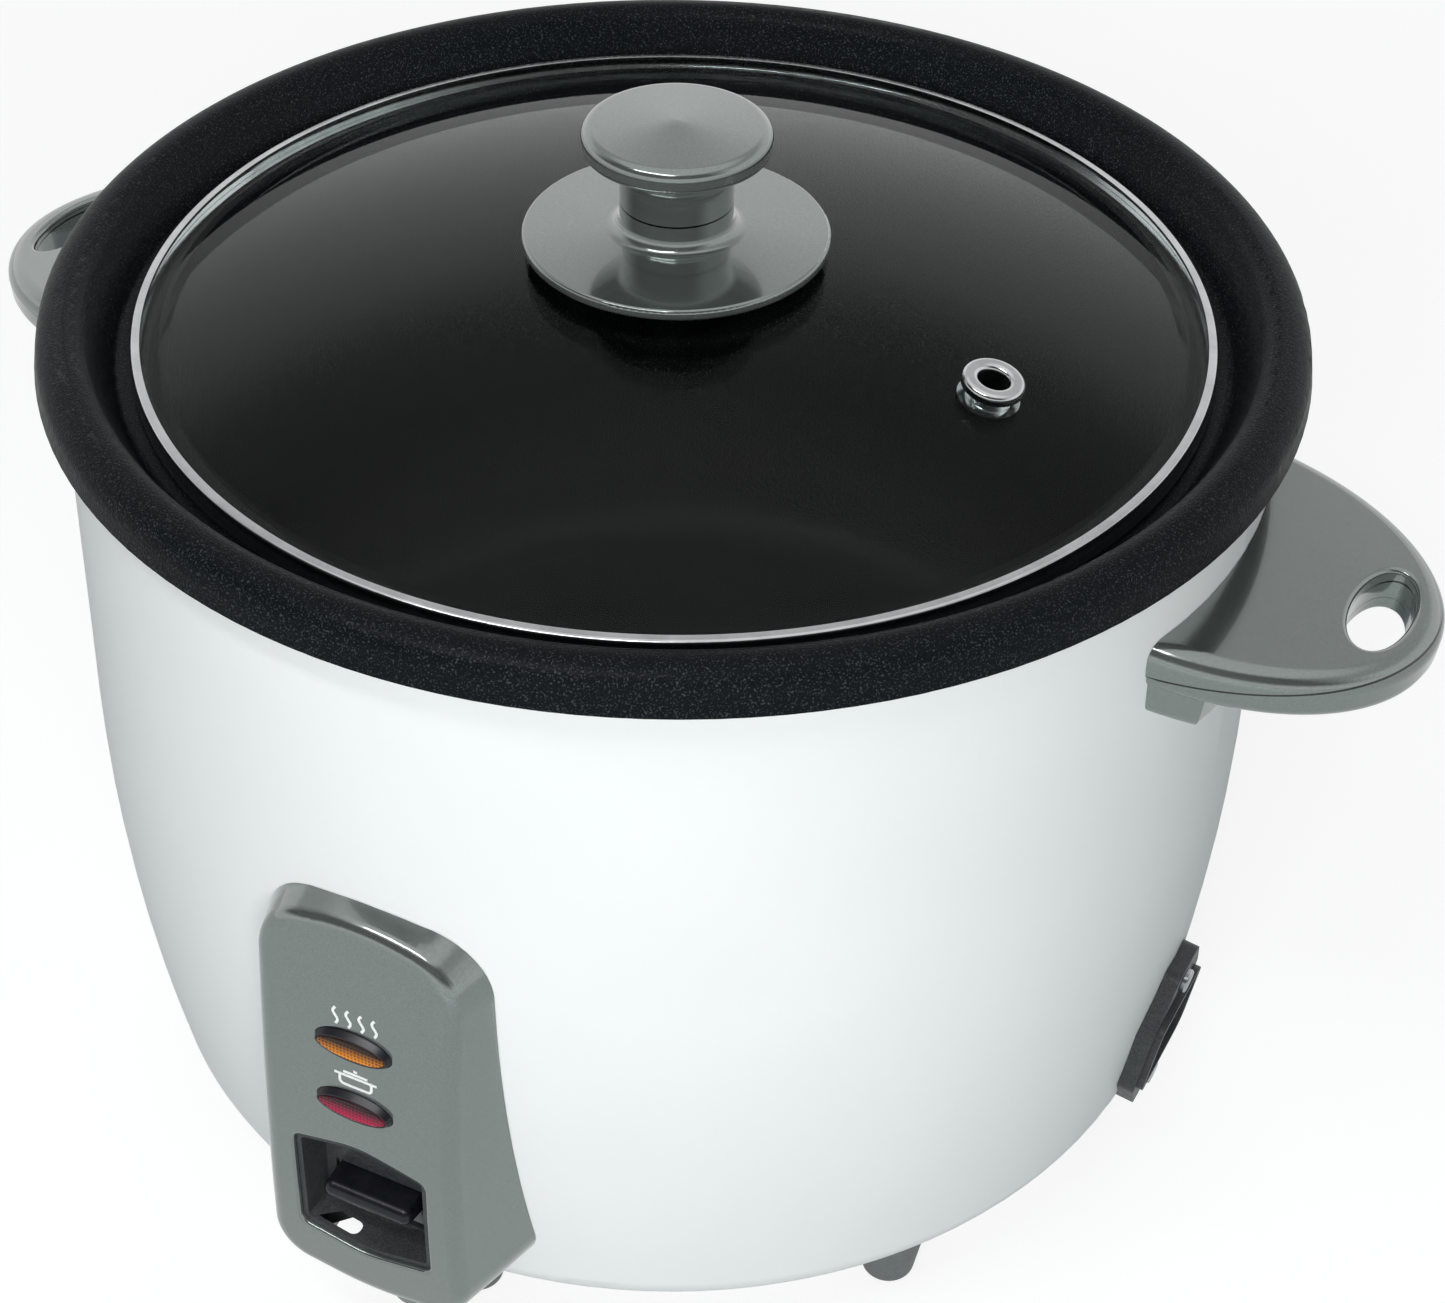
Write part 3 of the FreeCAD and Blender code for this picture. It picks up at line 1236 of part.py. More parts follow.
def split_rounds(edges):
    """Parts flat edges into those round the slot and those round the outside."""
    centre = vec(HANDLE_TIP - SLOT_INSET, 0, edges[0].CenterOfMass.z)
    slot = [e for e in edges if e.CenterOfMass.distanceToPoint(centre) < SLOT_HALF_WIDTH / 2.0]
    outside = [e for e in edges if not any(e.isSame(s) for s in slot)]
    return slot, outside


def drooped(shape):
    """A copy of a level handle piece, tipped down and outwards about the handle's root."""
    copy = shape.copy()
    copy.rotate(vec(HANDLE_CENTRE, 0, HANDLE_TOP_Z), vec(0, 1, 0), HANDLE_DROOP)
    return copy


def clamp_places():
    return [(HANDLE_CLAMP_RADIUS, spread) for spread in (-HANDLE_SCREW_SPREAD, HANDLE_SCREW_SPREAD)]


def rounded_grip(plate, z, edge_round):
    """Rounds a grip plate's outer edge and its slot's edge at one height."""
    slot, outside = split_rounds(edges_at(plate, z))
    plate = plate.makeFillet(edge_round, outside)
    slot, outside = split_rounds(edges_at(plate, z))
    return plate.makeFillet(SLOT_ROUND, slot)


def make_handle_upper():
    plate = grip(HANDLE_SEAM_Z, HANDLE_TOP_Z).cut(grip_slot())
    plate = rounded_grip(plate, HANDLE_TOP_Z, HANDLE_TOP_ROUND)
    top = HANDLE_UNDER_Z + CLAMP_SCREW[3] + SEAT_GAP
    bores = [disc(CLAMP_SCREW[2] + PIN_CLEARANCE, 0, top, x, y) for x, y in clamp_places()]
    return drooped(cut_all(plate, bores)).cut(drum_solid(SEAT_GAP))


def make_handle_lower():
    seam_z = HANDLE_SEAM_Z - SEAT_GAP
    plate = grip(HANDLE_UNDER_Z, seam_z, HANDLE_SEAM_GROOVE).cut(grip_slot())
    plate = rounded_grip(plate, HANDLE_UNDER_Z, HANDLE_UNDER_ROUND)
    boss = grip(HANDLE_BOSS_Z, seam_z, HANDLE_BOSS_INSET)
    boss = boss.common(disc(drum_radius(HANDLE_UNDER_Z) + HANDLE_BOSS_WIDTH, 0, FAR))
    boss = boss.makeFillet(HANDLE_BOSS_ROUND, edges_at(boss, HANDLE_BOSS_Z))
    plate = plate.fuse(boss).removeSplitter()
    bores = [disc(CLAMP_SCREW[2] + PIN_CLEARANCE, 0, FAR, x, y) for x, y in clamp_places()]
    plate = drooped(cut_all(plate, bores))
    sockets = []
    for base, direction in handle_screw_axes():
        depth = HANDLE_SCREW[3] + SEAT_GAP
        sockets.append(Part.makeCylinder(HANDLE_SCREW[2] + PIN_CLEARANCE, depth, base, direction))
    return cut_all(plate, sockets + [drum_solid(SEAT_GAP)])


def make_handle_screws():
    return Part.makeCompound([placed(screw(HANDLE_SCREW), base, axis) for base, axis in handle_screw_axes()])


def make_handle_clamp_screws():
    screws = []
    for x, y in clamp_places():
        fixing = drooped(placed(screw(CLAMP_SCREW), vec(x, y, HANDLE_UNDER_Z - SEAT_GAP), UP))
        screws += [fixing, turned(fixing, 180)]
    return Part.makeCompound(screws)


# Pot


def make_inner_pot():
    """The cooking pot, up to the seam under its ledge."""
    points = (
        (0, POT_FLOOR_Z),
        (POT_RADIUS, POT_FLOOR_Z),
        (POT_RADIUS, RIM_SEAM_Z),
    )
    return spun_sheet(points, (0.0, POT_CORNER, 0.0), -POT_WALL)


def make_pot_rim():
    """The ledge for the lid and the broad rolled rim, seamed to the pot under the ledge."""
    points = (
        (POT_RADIUS, RIM_SEAM_Z + SEAT_GAP),
        (POT_RADIUS, LEDGE_Z),
        (LEDGE_RADIUS, LEDGE_Z),
        (CREST_INNER_RADIUS, CREST_Z),
        (CREST_OUTER_RADIUS, CREST_Z),
        (LIP_RADIUS, LIP_Z),
    )
    radii = (0.0, LEDGE_INNER_ROUND, LEDGE_OUTER_ROUND, CREST_INNER_ROUND, CREST_OUTER_ROUND, 0.0)
    return spun_sheet(points, radii, -POT_WALL)


# Lid

RING_RADIUS = LEDGE_RADIUS - LID_CLEARANCE
RING_UNDER_Z = LEDGE_Z + LOOSE_GAP
RING_TOP_Z = RING_UNDER_Z + GLASS_THICKNESS + 2.0 * (LID_RING_WALL + SEAT_GAP)
GLASS_RADIUS = RING_RADIUS - LID_RING_WALL - SEAT_GAP
VENT_RADIUS = GLASS_RADIUS - VENT_INSET
GLASS_EDGE_TOP_Z = (RING_UNDER_Z + RING_TOP_Z + GLASS_THICKNESS) / 2.0
GLASS_LAND_RADIUS = GLASS_RADIUS - LID_RING_WIDTH - GLASS_EDGE_LAND
DOME_TOP_Z = GLASS_EDGE_TOP_Z + GLASS_RISE
DOME_RADIUS = (GLASS_LAND_RADIUS ** 2 + GLASS_RISE ** 2) / (2.0 * GLASS_RISE)


def dome_z(radius, drop=0.0):
    """Height of the glass dome's outer face at a radius, or of a face that lies below it."""
    return DOME_TOP_Z - DOME_RADIUS + math.sqrt((DOME_RADIUS - drop) ** 2 - radius ** 2)


def dome_profile(drop, edge_z):
    """Edges of one face of the glass, from the axis to its flat edge."""
    land = math.sqrt((DOME_RADIUS - drop) ** 2 - (edge_z - DOME_TOP_Z + DOME_RADIUS) ** 2)
    start = upright((0, DOME_TOP_Z - drop))
    middle = upright((land / 2.0, dome_z(land / 2.0, drop)))
    end = upright((land, edge_z))
    edge = upright((GLASS_RADIUS, edge_z))
    return [Part.Arc(start, middle, end).toShape(), Part.LineSegment(end, edge).toShape()], start, edge


def vent_frame():
    """Placement of the steam vent, square to the dome where it stands."""
    x, y = azimuth_place(VENT_RADIUS, VENT_AZIMUTH)
    z = dome_z(VENT_RADIUS)
    outward = vec(x, y, z - DOME_TOP_Z + DOME_RADIUS)
    return FreeCAD.Placement(vec(x, y, z), FreeCAD.Rotation(UP, outward))


def make_lid_glass():
    top, top_start, top_edge = dome_profile(0.0, GLASS_EDGE_TOP_Z)
    under, under_start, under_edge = dome_profile(GLASS_THICKNESS, GLASS_EDGE_TOP_Z - GLASS_THICKNESS)
    edges = top + under
    edges.append(Part.LineSegment(top_start, under_start).toShape())
    edges.append(Part.LineSegment(top_edge, under_edge).toShape())
    hole = disc(VENT_TUBE_RADIUS + SEAT_GAP, -2.0 * GLASS_THICKNESS, GLASS_THICKNESS)
    hole.Placement = vent_frame().multiply(hole.Placement)
    return spun(edges).cut(disc(GLASS_HOLE_RADIUS, 0, FAR)).cut(hole)


def make_lid_ring():
    points = (
        (RING_RADIUS - LID_RING_WIDTH, RING_UNDER_Z),
        (RING_RADIUS, RING_UNDER_Z),
        (RING_RADIUS, RING_TOP_Z),
        (RING_RADIUS - LID_RING_WIDTH, RING_TOP_Z),
    )
    return spun_sheet(points, (0.0, LID_RING_WALL, LID_RING_WALL, 0.0), LID_RING_WALL)


def make_vent_eyelet():
    """A steel eyelet clamped through the glass, with a rolled flange above and a flat one below."""
    seat = VENT_FLANGE_RADIUS ** 2 / (2.0 * DOME_RADIUS) + SEAT_GAP
    under = -GLASS_THICKNESS - seat
    points = (
        (VENT_HOLE_RADIUS, under - VENT_UNDER_HEIGHT),
        (VENT_FLANGE_RADIUS, under - VENT_UNDER_HEIGHT),
        (VENT_FLANGE_RADIUS, under),
        (VENT_TUBE_RADIUS, under),
        (VENT_TUBE_RADIUS, seat),
        (VENT_FLANGE_RADIUS, seat),
        (VENT_FLANGE_RADIUS, seat + VENT_FLANGE_HEIGHT),
        (VENT_HOLE_RADIUS, seat + VENT_FLANGE_HEIGHT),
    )
    lip = (VENT_FLANGE_RADIUS - VENT_HOLE_RADIUS) / 3.0
    eyelet = spun_solid(points, (0.0, 0.0, 0.0, 0.0, 0.0, 0.0, lip, lip))
    eyelet.Placement = vent_frame()
    return eyelet


KNOB_SEAT_Z = DOME_TOP_Z + SEAT_GAP
KNOB_FLANGE_Z = KNOB_SEAT_Z + KNOB_FLANGE_LIFT
KNOB_FLANGE_TOP_Z = KNOB_FLANGE_Z + KNOB_FLANGE_THICKNESS
KNOB_NECK_Z = KNOB_FLANGE_TOP_Z + KNOB_FLANGE_RISE
KNOB_PART_Z = KNOB_NECK_Z + KNOB_NECK_HEIGHT
KNOB_CAP_UNDER_Z = KNOB_PART_Z + SEAT_GAP
GLASS_UNDER_Z = DOME_TOP_Z - GLASS_THICKNESS


def make_knob_base():
    points = (
        (0, KNOB_SEAT_Z),
        (KNOB_SEAT_RADIUS, KNOB_SEAT_Z),
        (KNOB_FLANGE_RADIUS, KNOB_FLANGE_Z),
        (KNOB_FLANGE_RADIUS, KNOB_FLANGE_TOP_Z),
        (KNOB_NECK_RADIUS, KNOB_NECK_Z),
        (KNOB_NECK_RADIUS, KNOB_PART_Z),
        (0, KNOB_PART_Z),
    )
    edge_round = KNOB_FLANGE_THICKNESS / 3.0
    base = spun_solid(points, (0.0, 0.0, edge_round, edge_round, KNOB_NECK_ROUND, 0.0, 0.0))
    socket = disc(KNOB_SPIGOT_RADIUS + SEAT_GAP, KNOB_PART_Z - KNOB_SPIGOT_HEIGHT - SEAT_GAP, FAR)
    bore_top = knob_screw_base_z() + KNOB_SCREW[3] + SEAT_GAP
    return base.cut(socket).cut(disc(KNOB_SCREW[2] + PIN_CLEARANCE, 0, bore_top))


def make_knob_cap():
    neck_z = KNOB_CAP_UNDER_Z + KNOB_CAP_NECK
    edge_z = neck_z + KNOB_CAP_UNDERCUT
    rim_z = edge_z + KNOB_CAP_EDGE
    points = (
        (0, KNOB_CAP_UNDER_Z),
        (KNOB_NECK_RADIUS, KNOB_CAP_UNDER_Z),
        (KNOB_NECK_RADIUS, neck_z),
        (KNOB_CAP_RADIUS, edge_z),
        (KNOB_CAP_RADIUS, rim_z),
        (0, rim_z + KNOB_CAP_CROWN),
    )
    radii = (0.0, 0.0, KNOB_NECK_ROUND, KNOB_CAP_EDGE / 4.0, KNOB_CAP_ROUND, 0.0)
    cap = spun_solid(points, radii)
    spigot = disc(KNOB_SPIGOT_RADIUS, KNOB_PART_Z - KNOB_SPIGOT_HEIGHT, KNOB_CAP_UNDER_Z)
    return cap.fuse(spigot).removeSplitter()


def knob_screw_base_z():
    """Underside of the knob's washer, where the screw's head bears."""
    return GLASS_UNDER_Z - SEAT_GAP - WASHER_THICKNESS - SEAT_GAP


def make_knob_washer():
    top = GLASS_UNDER_Z - SEAT_GAP - WASHER_RADIUS ** 2 / (2.0 * DOME_RADIUS)
    washer = disc(WASHER_RADIUS, top - WASHER_THICKNESS, top)
    return washer.cut(disc(KNOB_SCREW[2] + SCREW_CLEARANCE, 0, FAR))


def make_knob_screw():
    drop = WASHER_RADIUS ** 2 / (2.0 * DOME_RADIUS)
    return placed(screw(KNOB_SCREW), vec(0, 0, knob_screw_base_z() - drop), UP)


NODES = {
    "outer_shell": make_outer_shell(),
    "base_cover": make_base_cover(),
    "feet": make_feet(),
    "base_screws": make_base_screws(),
    "inner_liner": make_inner_liner(),
    "heating_plate": make_heating_plate(),
    "heating_element": make_heating_element(),
    "plate_screws": make_plate_screws(),
    "sensor_sleeve": make_sensor_sleeve(),
    "sensor_cap": make_sensor_cap(),
    "sensor_spring": make_sensor_spring(),
    "ferrite_disc": make_ferrite_disc(),
    "magnet": make_magnet(),
    "magnet_rod": make_magnet_rod(),
    "lever_arm": make_lever_arm(),
    "lever_paddle": make_lever_paddle(),
    "switch_bracket": make_switch_bracket(),
    "pivot_pin": make_pivot_pin(),
    "microswitch": make_microswitch(),
    "warm_thermostat": make_warm_thermostat(),
    "thermal_fuse": make_thermal_fuse(),
    "panel_housing": make_panel_housing(),
    "panel_screws": make_panel_screws(),
    "switch_well": make_switch_well(),
    "lamp_frames": make_lamp_frames(),
    "lens_amber": make_lens(LAMP_HEIGHTS[0]),
    "lens_red": make_lens(LAMP_HEIGHTS[1]),
    "lamp_holder": make_lamp_holder(),
    "indicator_lamps": make_indicator_lamps(),
    "inlet_shroud": make_inlet_shroud(),
    "inlet_pins": make_inlet_pins(),
    "inlet_screws": make_inlet_screws(),
    "handle_right_upper": make_handle_upper(),
    "handle_right_lower": make_handle_lower(),
    "handle_left_upper": turned(make_handle_upper(), 180),
    "handle_left_lower": turned(make_handle_lower(), 180),
    "handle_screws": make_handle_screws(),
    "handle_clamp_screws": make_handle_clamp_screws(),
    "inner_pot": make_inner_pot(),
    "pot_rim": make_pot_rim(),
    "lid_glass": make_lid_glass(),
    "lid_ring": make_lid_ring(),
    "vent_eyelet": make_vent_eyelet(),
    "knob_base": make_knob_base(),
    "knob_cap": make_knob_cap(),
    "knob_washer": make_knob_washer(),
    "knob_screw": make_knob_screw(),
}

os.makedirs("parts", exist_ok=True)
for name, shape in NODES.items():
    shape.translate(vec(0, AXIS_Y, 0))
    shape.exportStep(os.path.join("parts", name + ".step"))
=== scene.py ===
import json
import math

import bmesh
import bpy
from mathutils import Matrix, Vector


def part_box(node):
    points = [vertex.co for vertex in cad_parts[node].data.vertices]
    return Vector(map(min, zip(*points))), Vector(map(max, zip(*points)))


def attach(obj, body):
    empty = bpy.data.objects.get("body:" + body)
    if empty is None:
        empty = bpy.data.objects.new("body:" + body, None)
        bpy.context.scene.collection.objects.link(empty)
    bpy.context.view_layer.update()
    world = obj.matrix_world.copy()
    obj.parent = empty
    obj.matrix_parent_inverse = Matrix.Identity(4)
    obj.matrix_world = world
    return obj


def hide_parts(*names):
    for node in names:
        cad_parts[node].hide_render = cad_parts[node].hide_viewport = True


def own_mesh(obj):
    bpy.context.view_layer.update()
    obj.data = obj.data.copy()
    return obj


# Drum rice cooker on a pale floor. Metres, in the part's own frame: the switch panel faces -Y,
# the handles lie along X and the floor is at z = 0.

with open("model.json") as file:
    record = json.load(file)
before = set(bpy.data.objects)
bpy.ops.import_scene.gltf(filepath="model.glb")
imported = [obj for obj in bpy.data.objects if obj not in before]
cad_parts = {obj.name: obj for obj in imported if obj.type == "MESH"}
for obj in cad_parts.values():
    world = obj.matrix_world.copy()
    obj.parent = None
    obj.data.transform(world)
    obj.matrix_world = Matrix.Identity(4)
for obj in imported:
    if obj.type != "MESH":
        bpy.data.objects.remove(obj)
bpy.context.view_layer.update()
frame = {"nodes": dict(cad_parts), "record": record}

MM = 0.001

# Camera, at the photograph's viewing angle
CAMERA_PLACE = Vector((0.25413, -0.49249, 0.55146))
CAMERA_HEADING = math.radians(25.93)
CAMERA_PITCH = math.radians(38.62)
CAMERA_ROLL = math.radians(1.135)
CAMERA_LENS = 75.13
CAMERA_SENSOR = 36.0

# Studio: a pale floor in a white surround. The floor's glow is FLOOR_NEAR of its full strength
# round the object, where the lamps add to it, and rises to full strength over FLOOR_FADE.
FLOOR_SIZE = 12.0
FLOOR_COLOUR = (0.30, 0.35, 0.345, 1.0)
FLOOR_GLOW = (0.980, 0.942, 0.942, 1.0)
FLOOR_NEAR = 0.78
FLOOR_FADE = (0.70, 1.80)
FLOOR_MIRRORED = 0.62
WORLD_COLOUR = (0.78, 1.0, 0.99, 1.0)
WORLD_LEVEL = 0.08
WHITE = (1.0, 1.0, 1.0, 1.0)

# Soft boxes, each aimed at the object. Gloss and glass show only the one that is mirrored.
LAMP_AIM = Vector((0.0, 0.0, 0.10))
KEY_LAMP = {"place": (0.70, -1.60, 0.95), "width": 1.3, "height": 0.9, "power": 34.0, "mirrored": False}
OVER_LAMP = {"place": (-0.08, -0.62, 1.15), "width": 0.75, "height": 0.13, "power": 3.2, "mirrored": True}
BACK_LAMP = {"place": (-0.55, 1.50, 0.75), "width": 1.2, "height": 0.8, "power": 10.0, "mirrored": False}

# The room that gloss and glass mirror: white, with a dark band high in front and a dim one high behind.
# Each band's lower edge and their common upper edge are heights on the unit sphere.
FRONT_LEVEL = 0.04
FRONT_FROM = (0.20, 0.36)
BACK_LEVEL = 0.60
BACK_FROM = (0.50, 0.62)
BAND_TO = (0.74, 0.84)
FRONT_TO_BACK = (-0.35, 0.10)

# The pot's upright axis, which the turned finish, the lid's channel and the spring follow
POT_AXIS = (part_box("inner_pot")[0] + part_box("inner_pot")[1]) / 2.0

# Signs on the switch panel, above each lamp. The panel's face is an arc about a level axis.
FACE_RADIUS = 514.0 * MM
FACE_CENTRE_Z = 55.0 * MM
SIGN_LINE = 0.62 * MM
SIGN_PROUD = 0.05 * MM
SIGN_THICKNESS = 0.08 * MM
SIGN_X = 0.4 * MM
WARM_SIGN_Z = 109.9 * MM
COOK_SIGN_Z = 93.4 * MM
WAVE_HEIGHT = 4.2 * MM
WAVE_SWING = 0.55 * MM
WAVE_PITCH = 3.1 * MM
WAVE_COUNT = 4
WAVE_STEPS = 24
POT_SIGN_WIDTH = 7.6 * MM
POT_SIGN_DEPTH = 2.5 * MM
POT_SIGN_CORNER = 0.9 * MM
POT_SIGN_LID = 0.9 * MM
POT_SIGN_EAR = 1.3 * MM

# Painted shade along the parting lines in the grey plastic, each at the top of a node that another one
# sits on: a dark line for the shade in the gap between the parts
SEAM_OVER = ("handle_right_lower", "knob_base")
SEAM_SHADE_WIDTH = 0.45 * MM
SEAM_SHADE_COLOUR = (0.010, 0.011, 0.011)

# Coil spring under the sensor's cap
SPRING_RADIUS = 14.4 * MM
SPRING_WIRE = 0.6 * MM
SPRING_TURNS = 5
SPRING_STEPS = 48
WIRE_SIDES = 12

# Steel channel round the lid's glass
CHANNEL_WALL = 0.8 * MM
CHANNEL_LIP = 1.4 * MM
CHANNEL_SEGMENTS = 360

# Added pieces are shaded smooth, apart from edges sharper than this
SMOOTH_ANGLE = math.radians(40.0)

# A wave texture of scale 1 runs through this angle in a metre
WAVE_TURN = 20.0


# Shader building blocks


def set_even(node, even):
    """Even values on a node's sockets, whose names are given with _ for each space."""
    for socket, value in even.items():
        node.inputs[socket.replace("_", " ")].default_value = value


class Web:
    """The nodes of a material or of the world, and the links between them."""

    def __init__(self, tree):
        self.tree = tree

    def add(self, kind, links=None, **even):
        """One node with even values on its sockets, and links from other nodes' outputs."""
        made = self.tree.nodes.new(kind)
        set_even(made, even)
        for socket, source in (links or {}).items():
            self.tree.links.new(source, made.inputs[socket])
        return made

    def combine(self, operation, first, second):
        """Two values joined by one arithmetic operation."""
        made = self.tree.nodes.new("ShaderNodeMath")
        made.operation = operation
        self.tree.links.new(first, made.inputs[0])
        self.tree.links.new(second, made.inputs[1])
        return made.outputs["Value"]

    def times(self, first, second):
        """Two patterns multiplied."""
        return self.combine("MULTIPLY", first, second)

    def spread(self, source, low, high, start=0.0, end=1.0):
        """The pattern's values from start to end, stretched to run from low to high."""
        links = {"Value": source}
        made = self.add(
            "ShaderNodeMapRange", links, From_Min=start, From_Max=end, To_Min=low, To_Max=high
        )
        return made.outputs["Result"]

    def mix(self, share, first, second):
        """The first shader where the share is 0 and the second where it is 1."""
        made = self.add("ShaderNodeMixShader", {"Fac": share})
        self.tree.links.new(first, made.inputs[1])
        self.tree.links.new(second, made.inputs[2])
        return made.outputs["Shader"]


class Finish(Web):
    """A Principled material being made: even values sit on the shader, patterns are linked to it."""

    def __init__(self, name, **even):
        self.material = bpy.data.materials.new(name)
        self.material.use_nodes = True
        super().__init__(self.material.node_tree)
        self.shader = self.tree.nodes["Principled BSDF"]
        set_even(self.shader, even)
        self.place = self.add("ShaderNodeTexCoord").outputs["Object"]

    def noise(self, size, detail=2.0):
        """Cloudy pattern whose blots are about `size` metres across."""
        links = {"Vector": self.place}
        return self.add("ShaderNodeTexNoise", links, Scale=1.0 / size, Detail=detail).outputs["Fac"]

    def height(self):
        """Height above the floor."""
        return self.add("ShaderNodeSeparateXYZ", {"Vector": self.place}).outputs["Z"]

    def cells(self, size):
        """Distance to the nearest of scattered points about `size` metres apart."""
        links = {"Vector": self.place}
        return self.add("ShaderNodeTexVoronoi", links, Scale=1.0 / size).outputs["Distance"]

    def bands(self, size, direction):
        """Parallel ridges `size` metres apart, across X, Y or Z."""
        made = self.add("ShaderNodeTexWave", {"Vector": self.place}, Scale=math.tau / size / WAVE_TURN)
        made.bands_direction = direction
        return made.outputs["Fac"]

    def rings(self, size):
        """Turning marks `size` metres apart round the pot's axis."""
        shifted = self.add("ShaderNodeMapping", {"Vector": self.place}, Location=-POT_AXIS)
        links = {"Vector": shifted.outputs["Vector"]}
        made = self.add("ShaderNodeTexWave", links, Scale=math.tau / size / WAVE_TURN, Distortion=1.2)
        made.wave_type = "RINGS"
        made.rings_direction = "Z"
        return made.outputs["Fac"]

    def colours(self, source, low, high, start=0.35, end=0.65):
        """Base colour that runs from low to high with the pattern."""
        made = self.add("ShaderNodeValToRGB", {"Fac": source})
        first, last = made.color_ramp.elements
        first.position = start
        first.color = (*low, 1.0)
        last.position = end
        last.color = (*high, 1.0)
        self.tree.links.new(made.outputs["Color"], self.shader.inputs["Base Color"])

    def level_line(self, height, width):
        """1 on a level line at this height, 0 elsewhere."""
        made = self.add("ShaderNodeMath")
        made.operation = "COMPARE"
        self.tree.links.new(self.height(), made.inputs[0])
        made.inputs[1].default_value = height
        made.inputs[2].default_value = width / 2.0
        return made.outputs["Value"]

    def paint_shade(self, share, colour):
        """Painted shade: a colour in place of the base colour where the share is 1."""
        links = {"Fac": share, "Color1": self.shader.inputs["Base Color"].links[0].from_socket}
        made = self.add("ShaderNodeMixRGB", links, Color2=(*colour, 1.0))
        self.tree.links.new(made.outputs["Color"], self.shader.inputs["Base Color"])

    def roughness(self, source, low, high, start=0.3, end=0.7):
        """Roughness that runs from low to high with the pattern."""
        self.tree.links.new(self.spread(source, low, high, start, end), self.shader.inputs["Roughness"])

    def bump(self, source, depth, strength=1.0):
        """Relief `depth` metres deep. A second call lies on top of the first."""
        links = {"Height": source}
        under = self.shader.inputs["Normal"].links
        if under:
            links["Normal"] = under[0].from_socket
        made = self.add("ShaderNodeBump", links, Distance=depth, Strength=strength)
        self.tree.links.new(made.outputs["Normal"], self.shader.inputs["Normal"])


# Finishes, one for each material slot of the record


def white_enamel():
    made = Finish("white_enamel", Specular_IOR_Level=0.25)
    made.colours(made.noise(60 * MM), (0.850, 0.866, 0.864), (0.870, 0.884, 0.882))
    made.roughness(made.noise(25 * MM, 4.0), 0.42, 0.50)
    made.bump(made.noise(2.6 * MM), 0.02 * MM, 0.25)
    return made.material


def nonstick():
    made = Finish("nonstick", Specular_IOR_Level=0.06)
    grains = made.noise(0.40 * MM, 1.0)
    made.colours(grains, (0.0048, 0.0064, 0.0074), (0.060, 0.067, 0.070), 0.56, 0.80)
    made.roughness(made.noise(1.6 * MM, 3.0), 0.28, 0.40)
    made.bump(made.noise(0.6 * MM, 1.0), 0.14 * MM, 0.7)
    return made.material


def grey_plastic():
    made = Finish("grey_plastic", Metallic=0.75, Coat_Weight=1.0, Coat_Roughness=0.03)
    made.colours(made.noise(0.35 * MM, 1.0), (0.195, 0.222, 0.212), (0.232, 0.262, 0.252))
    for node in SEAM_OVER:
        # Painted shade: a near-black line at each parting line, for the shade in the gap.
        made.paint_shade(made.level_line(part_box(node)[1].z, SEAM_SHADE_WIDTH), SEAM_SHADE_COLOUR)
    made.roughness(made.noise(12 * MM, 3.0), 0.13, 0.17)
    return made.material


def foot_plastic():
    made = Finish("foot_plastic")
    made.colours(made.noise(0.5 * MM, 2.0), (0.105, 0.116, 0.116), (0.145, 0.158, 0.156))
    made.roughness(made.noise(4 * MM, 3.0), 0.38, 0.52)
    made.bump(made.noise(0.45 * MM, 2.0), 0.03 * MM, 0.4)
    return made.material


# Dark grey stippled plastic. On the switch well it is painted shade: a darker copy of the grey plastic
# for the shade inside the recess.
def dark_plastic():
    made = Finish("dark_plastic", Specular_IOR_Level=0.45)
    made.colours(made.noise(0.4 * MM, 2.0), (0.018, 0.020, 0.022), (0.042, 0.046, 0.048))
    made.roughness(made.noise(3 * MM, 3.0), 0.34, 0.50)
    made.bump(made.cells(0.5 * MM), 0.05 * MM, 0.5)
    return made.material


def black_plastic():
    made = Finish("black_plastic", Specular_IOR_Level=0.4)
    made.colours(made.noise(3 * MM), (0.006, 0.006, 0.009), (0.010, 0.010, 0.014))
    made.roughness(made.noise(5 * MM, 3.0), 0.24, 0.34)
    made.bump(made.noise(0.6 * MM), 0.01 * MM, 0.2)
    return made.material


def tinted_lens(name, node, shaded, bright):
    """Tinted plastic with a grid of dimples, with painted shade at the top and painted light towards its
    lower edge.
    """
    made = Finish(name, Specular_IOR_Level=0.15, Coat_Weight=0.25, Coat_Roughness=0.05)
    low, high = (corner.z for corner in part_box(node))
    # Painted light: the base colour runs from the shaded colour at the top to the bright one at the lower
    # edge, and the dimple grid darkens it too.
    painted_light = made.spread(made.height(), 1.0, 0.0, low, high)
    grid = made.times(made.bands(0.85 * MM, "X"), made.bands(0.85 * MM, "Z"))
    made.colours(made.times(painted_light, made.spread(grid, 1.0, 0.35)), shaded, bright, 0.22, 0.90)
    made.roughness(made.noise(2 * MM), 0.16, 0.26)
    made.bump(grid, 0.12 * MM, 0.6)
    return made.material


def amber_lens():
    return tinted_lens("amber_lens", "lens_amber", (0.020, 0.006, 0.001), (0.86, 0.27, 0.012))


def red_lens():
    return tinted_lens("red_lens", "lens_red", (0.022, 0.001, 0.006), (0.56, 0.005, 0.070))


def lid_glass():
    made = Finish(
        "lid_glass",
        Base_Color=(0.93, 0.97, 0.96, 1.0),
        Transmission_Weight=1.0,
        IOR=1.15,
        Roughness=0.0,
    )
    made.bump(made.noise(45 * MM), 0.05 * MM, 0.15)
    return made.material


def bright_steel():
    made = Finish("bright_steel", Metallic=1.0)
    made.colours(made.noise(8 * MM, 3.0), (0.50, 0.52, 0.52), (0.60, 0.62, 0.62))
    made.roughness(made.noise(0.8 * MM, 3.0), 0.12, 0.24)
    return made.material


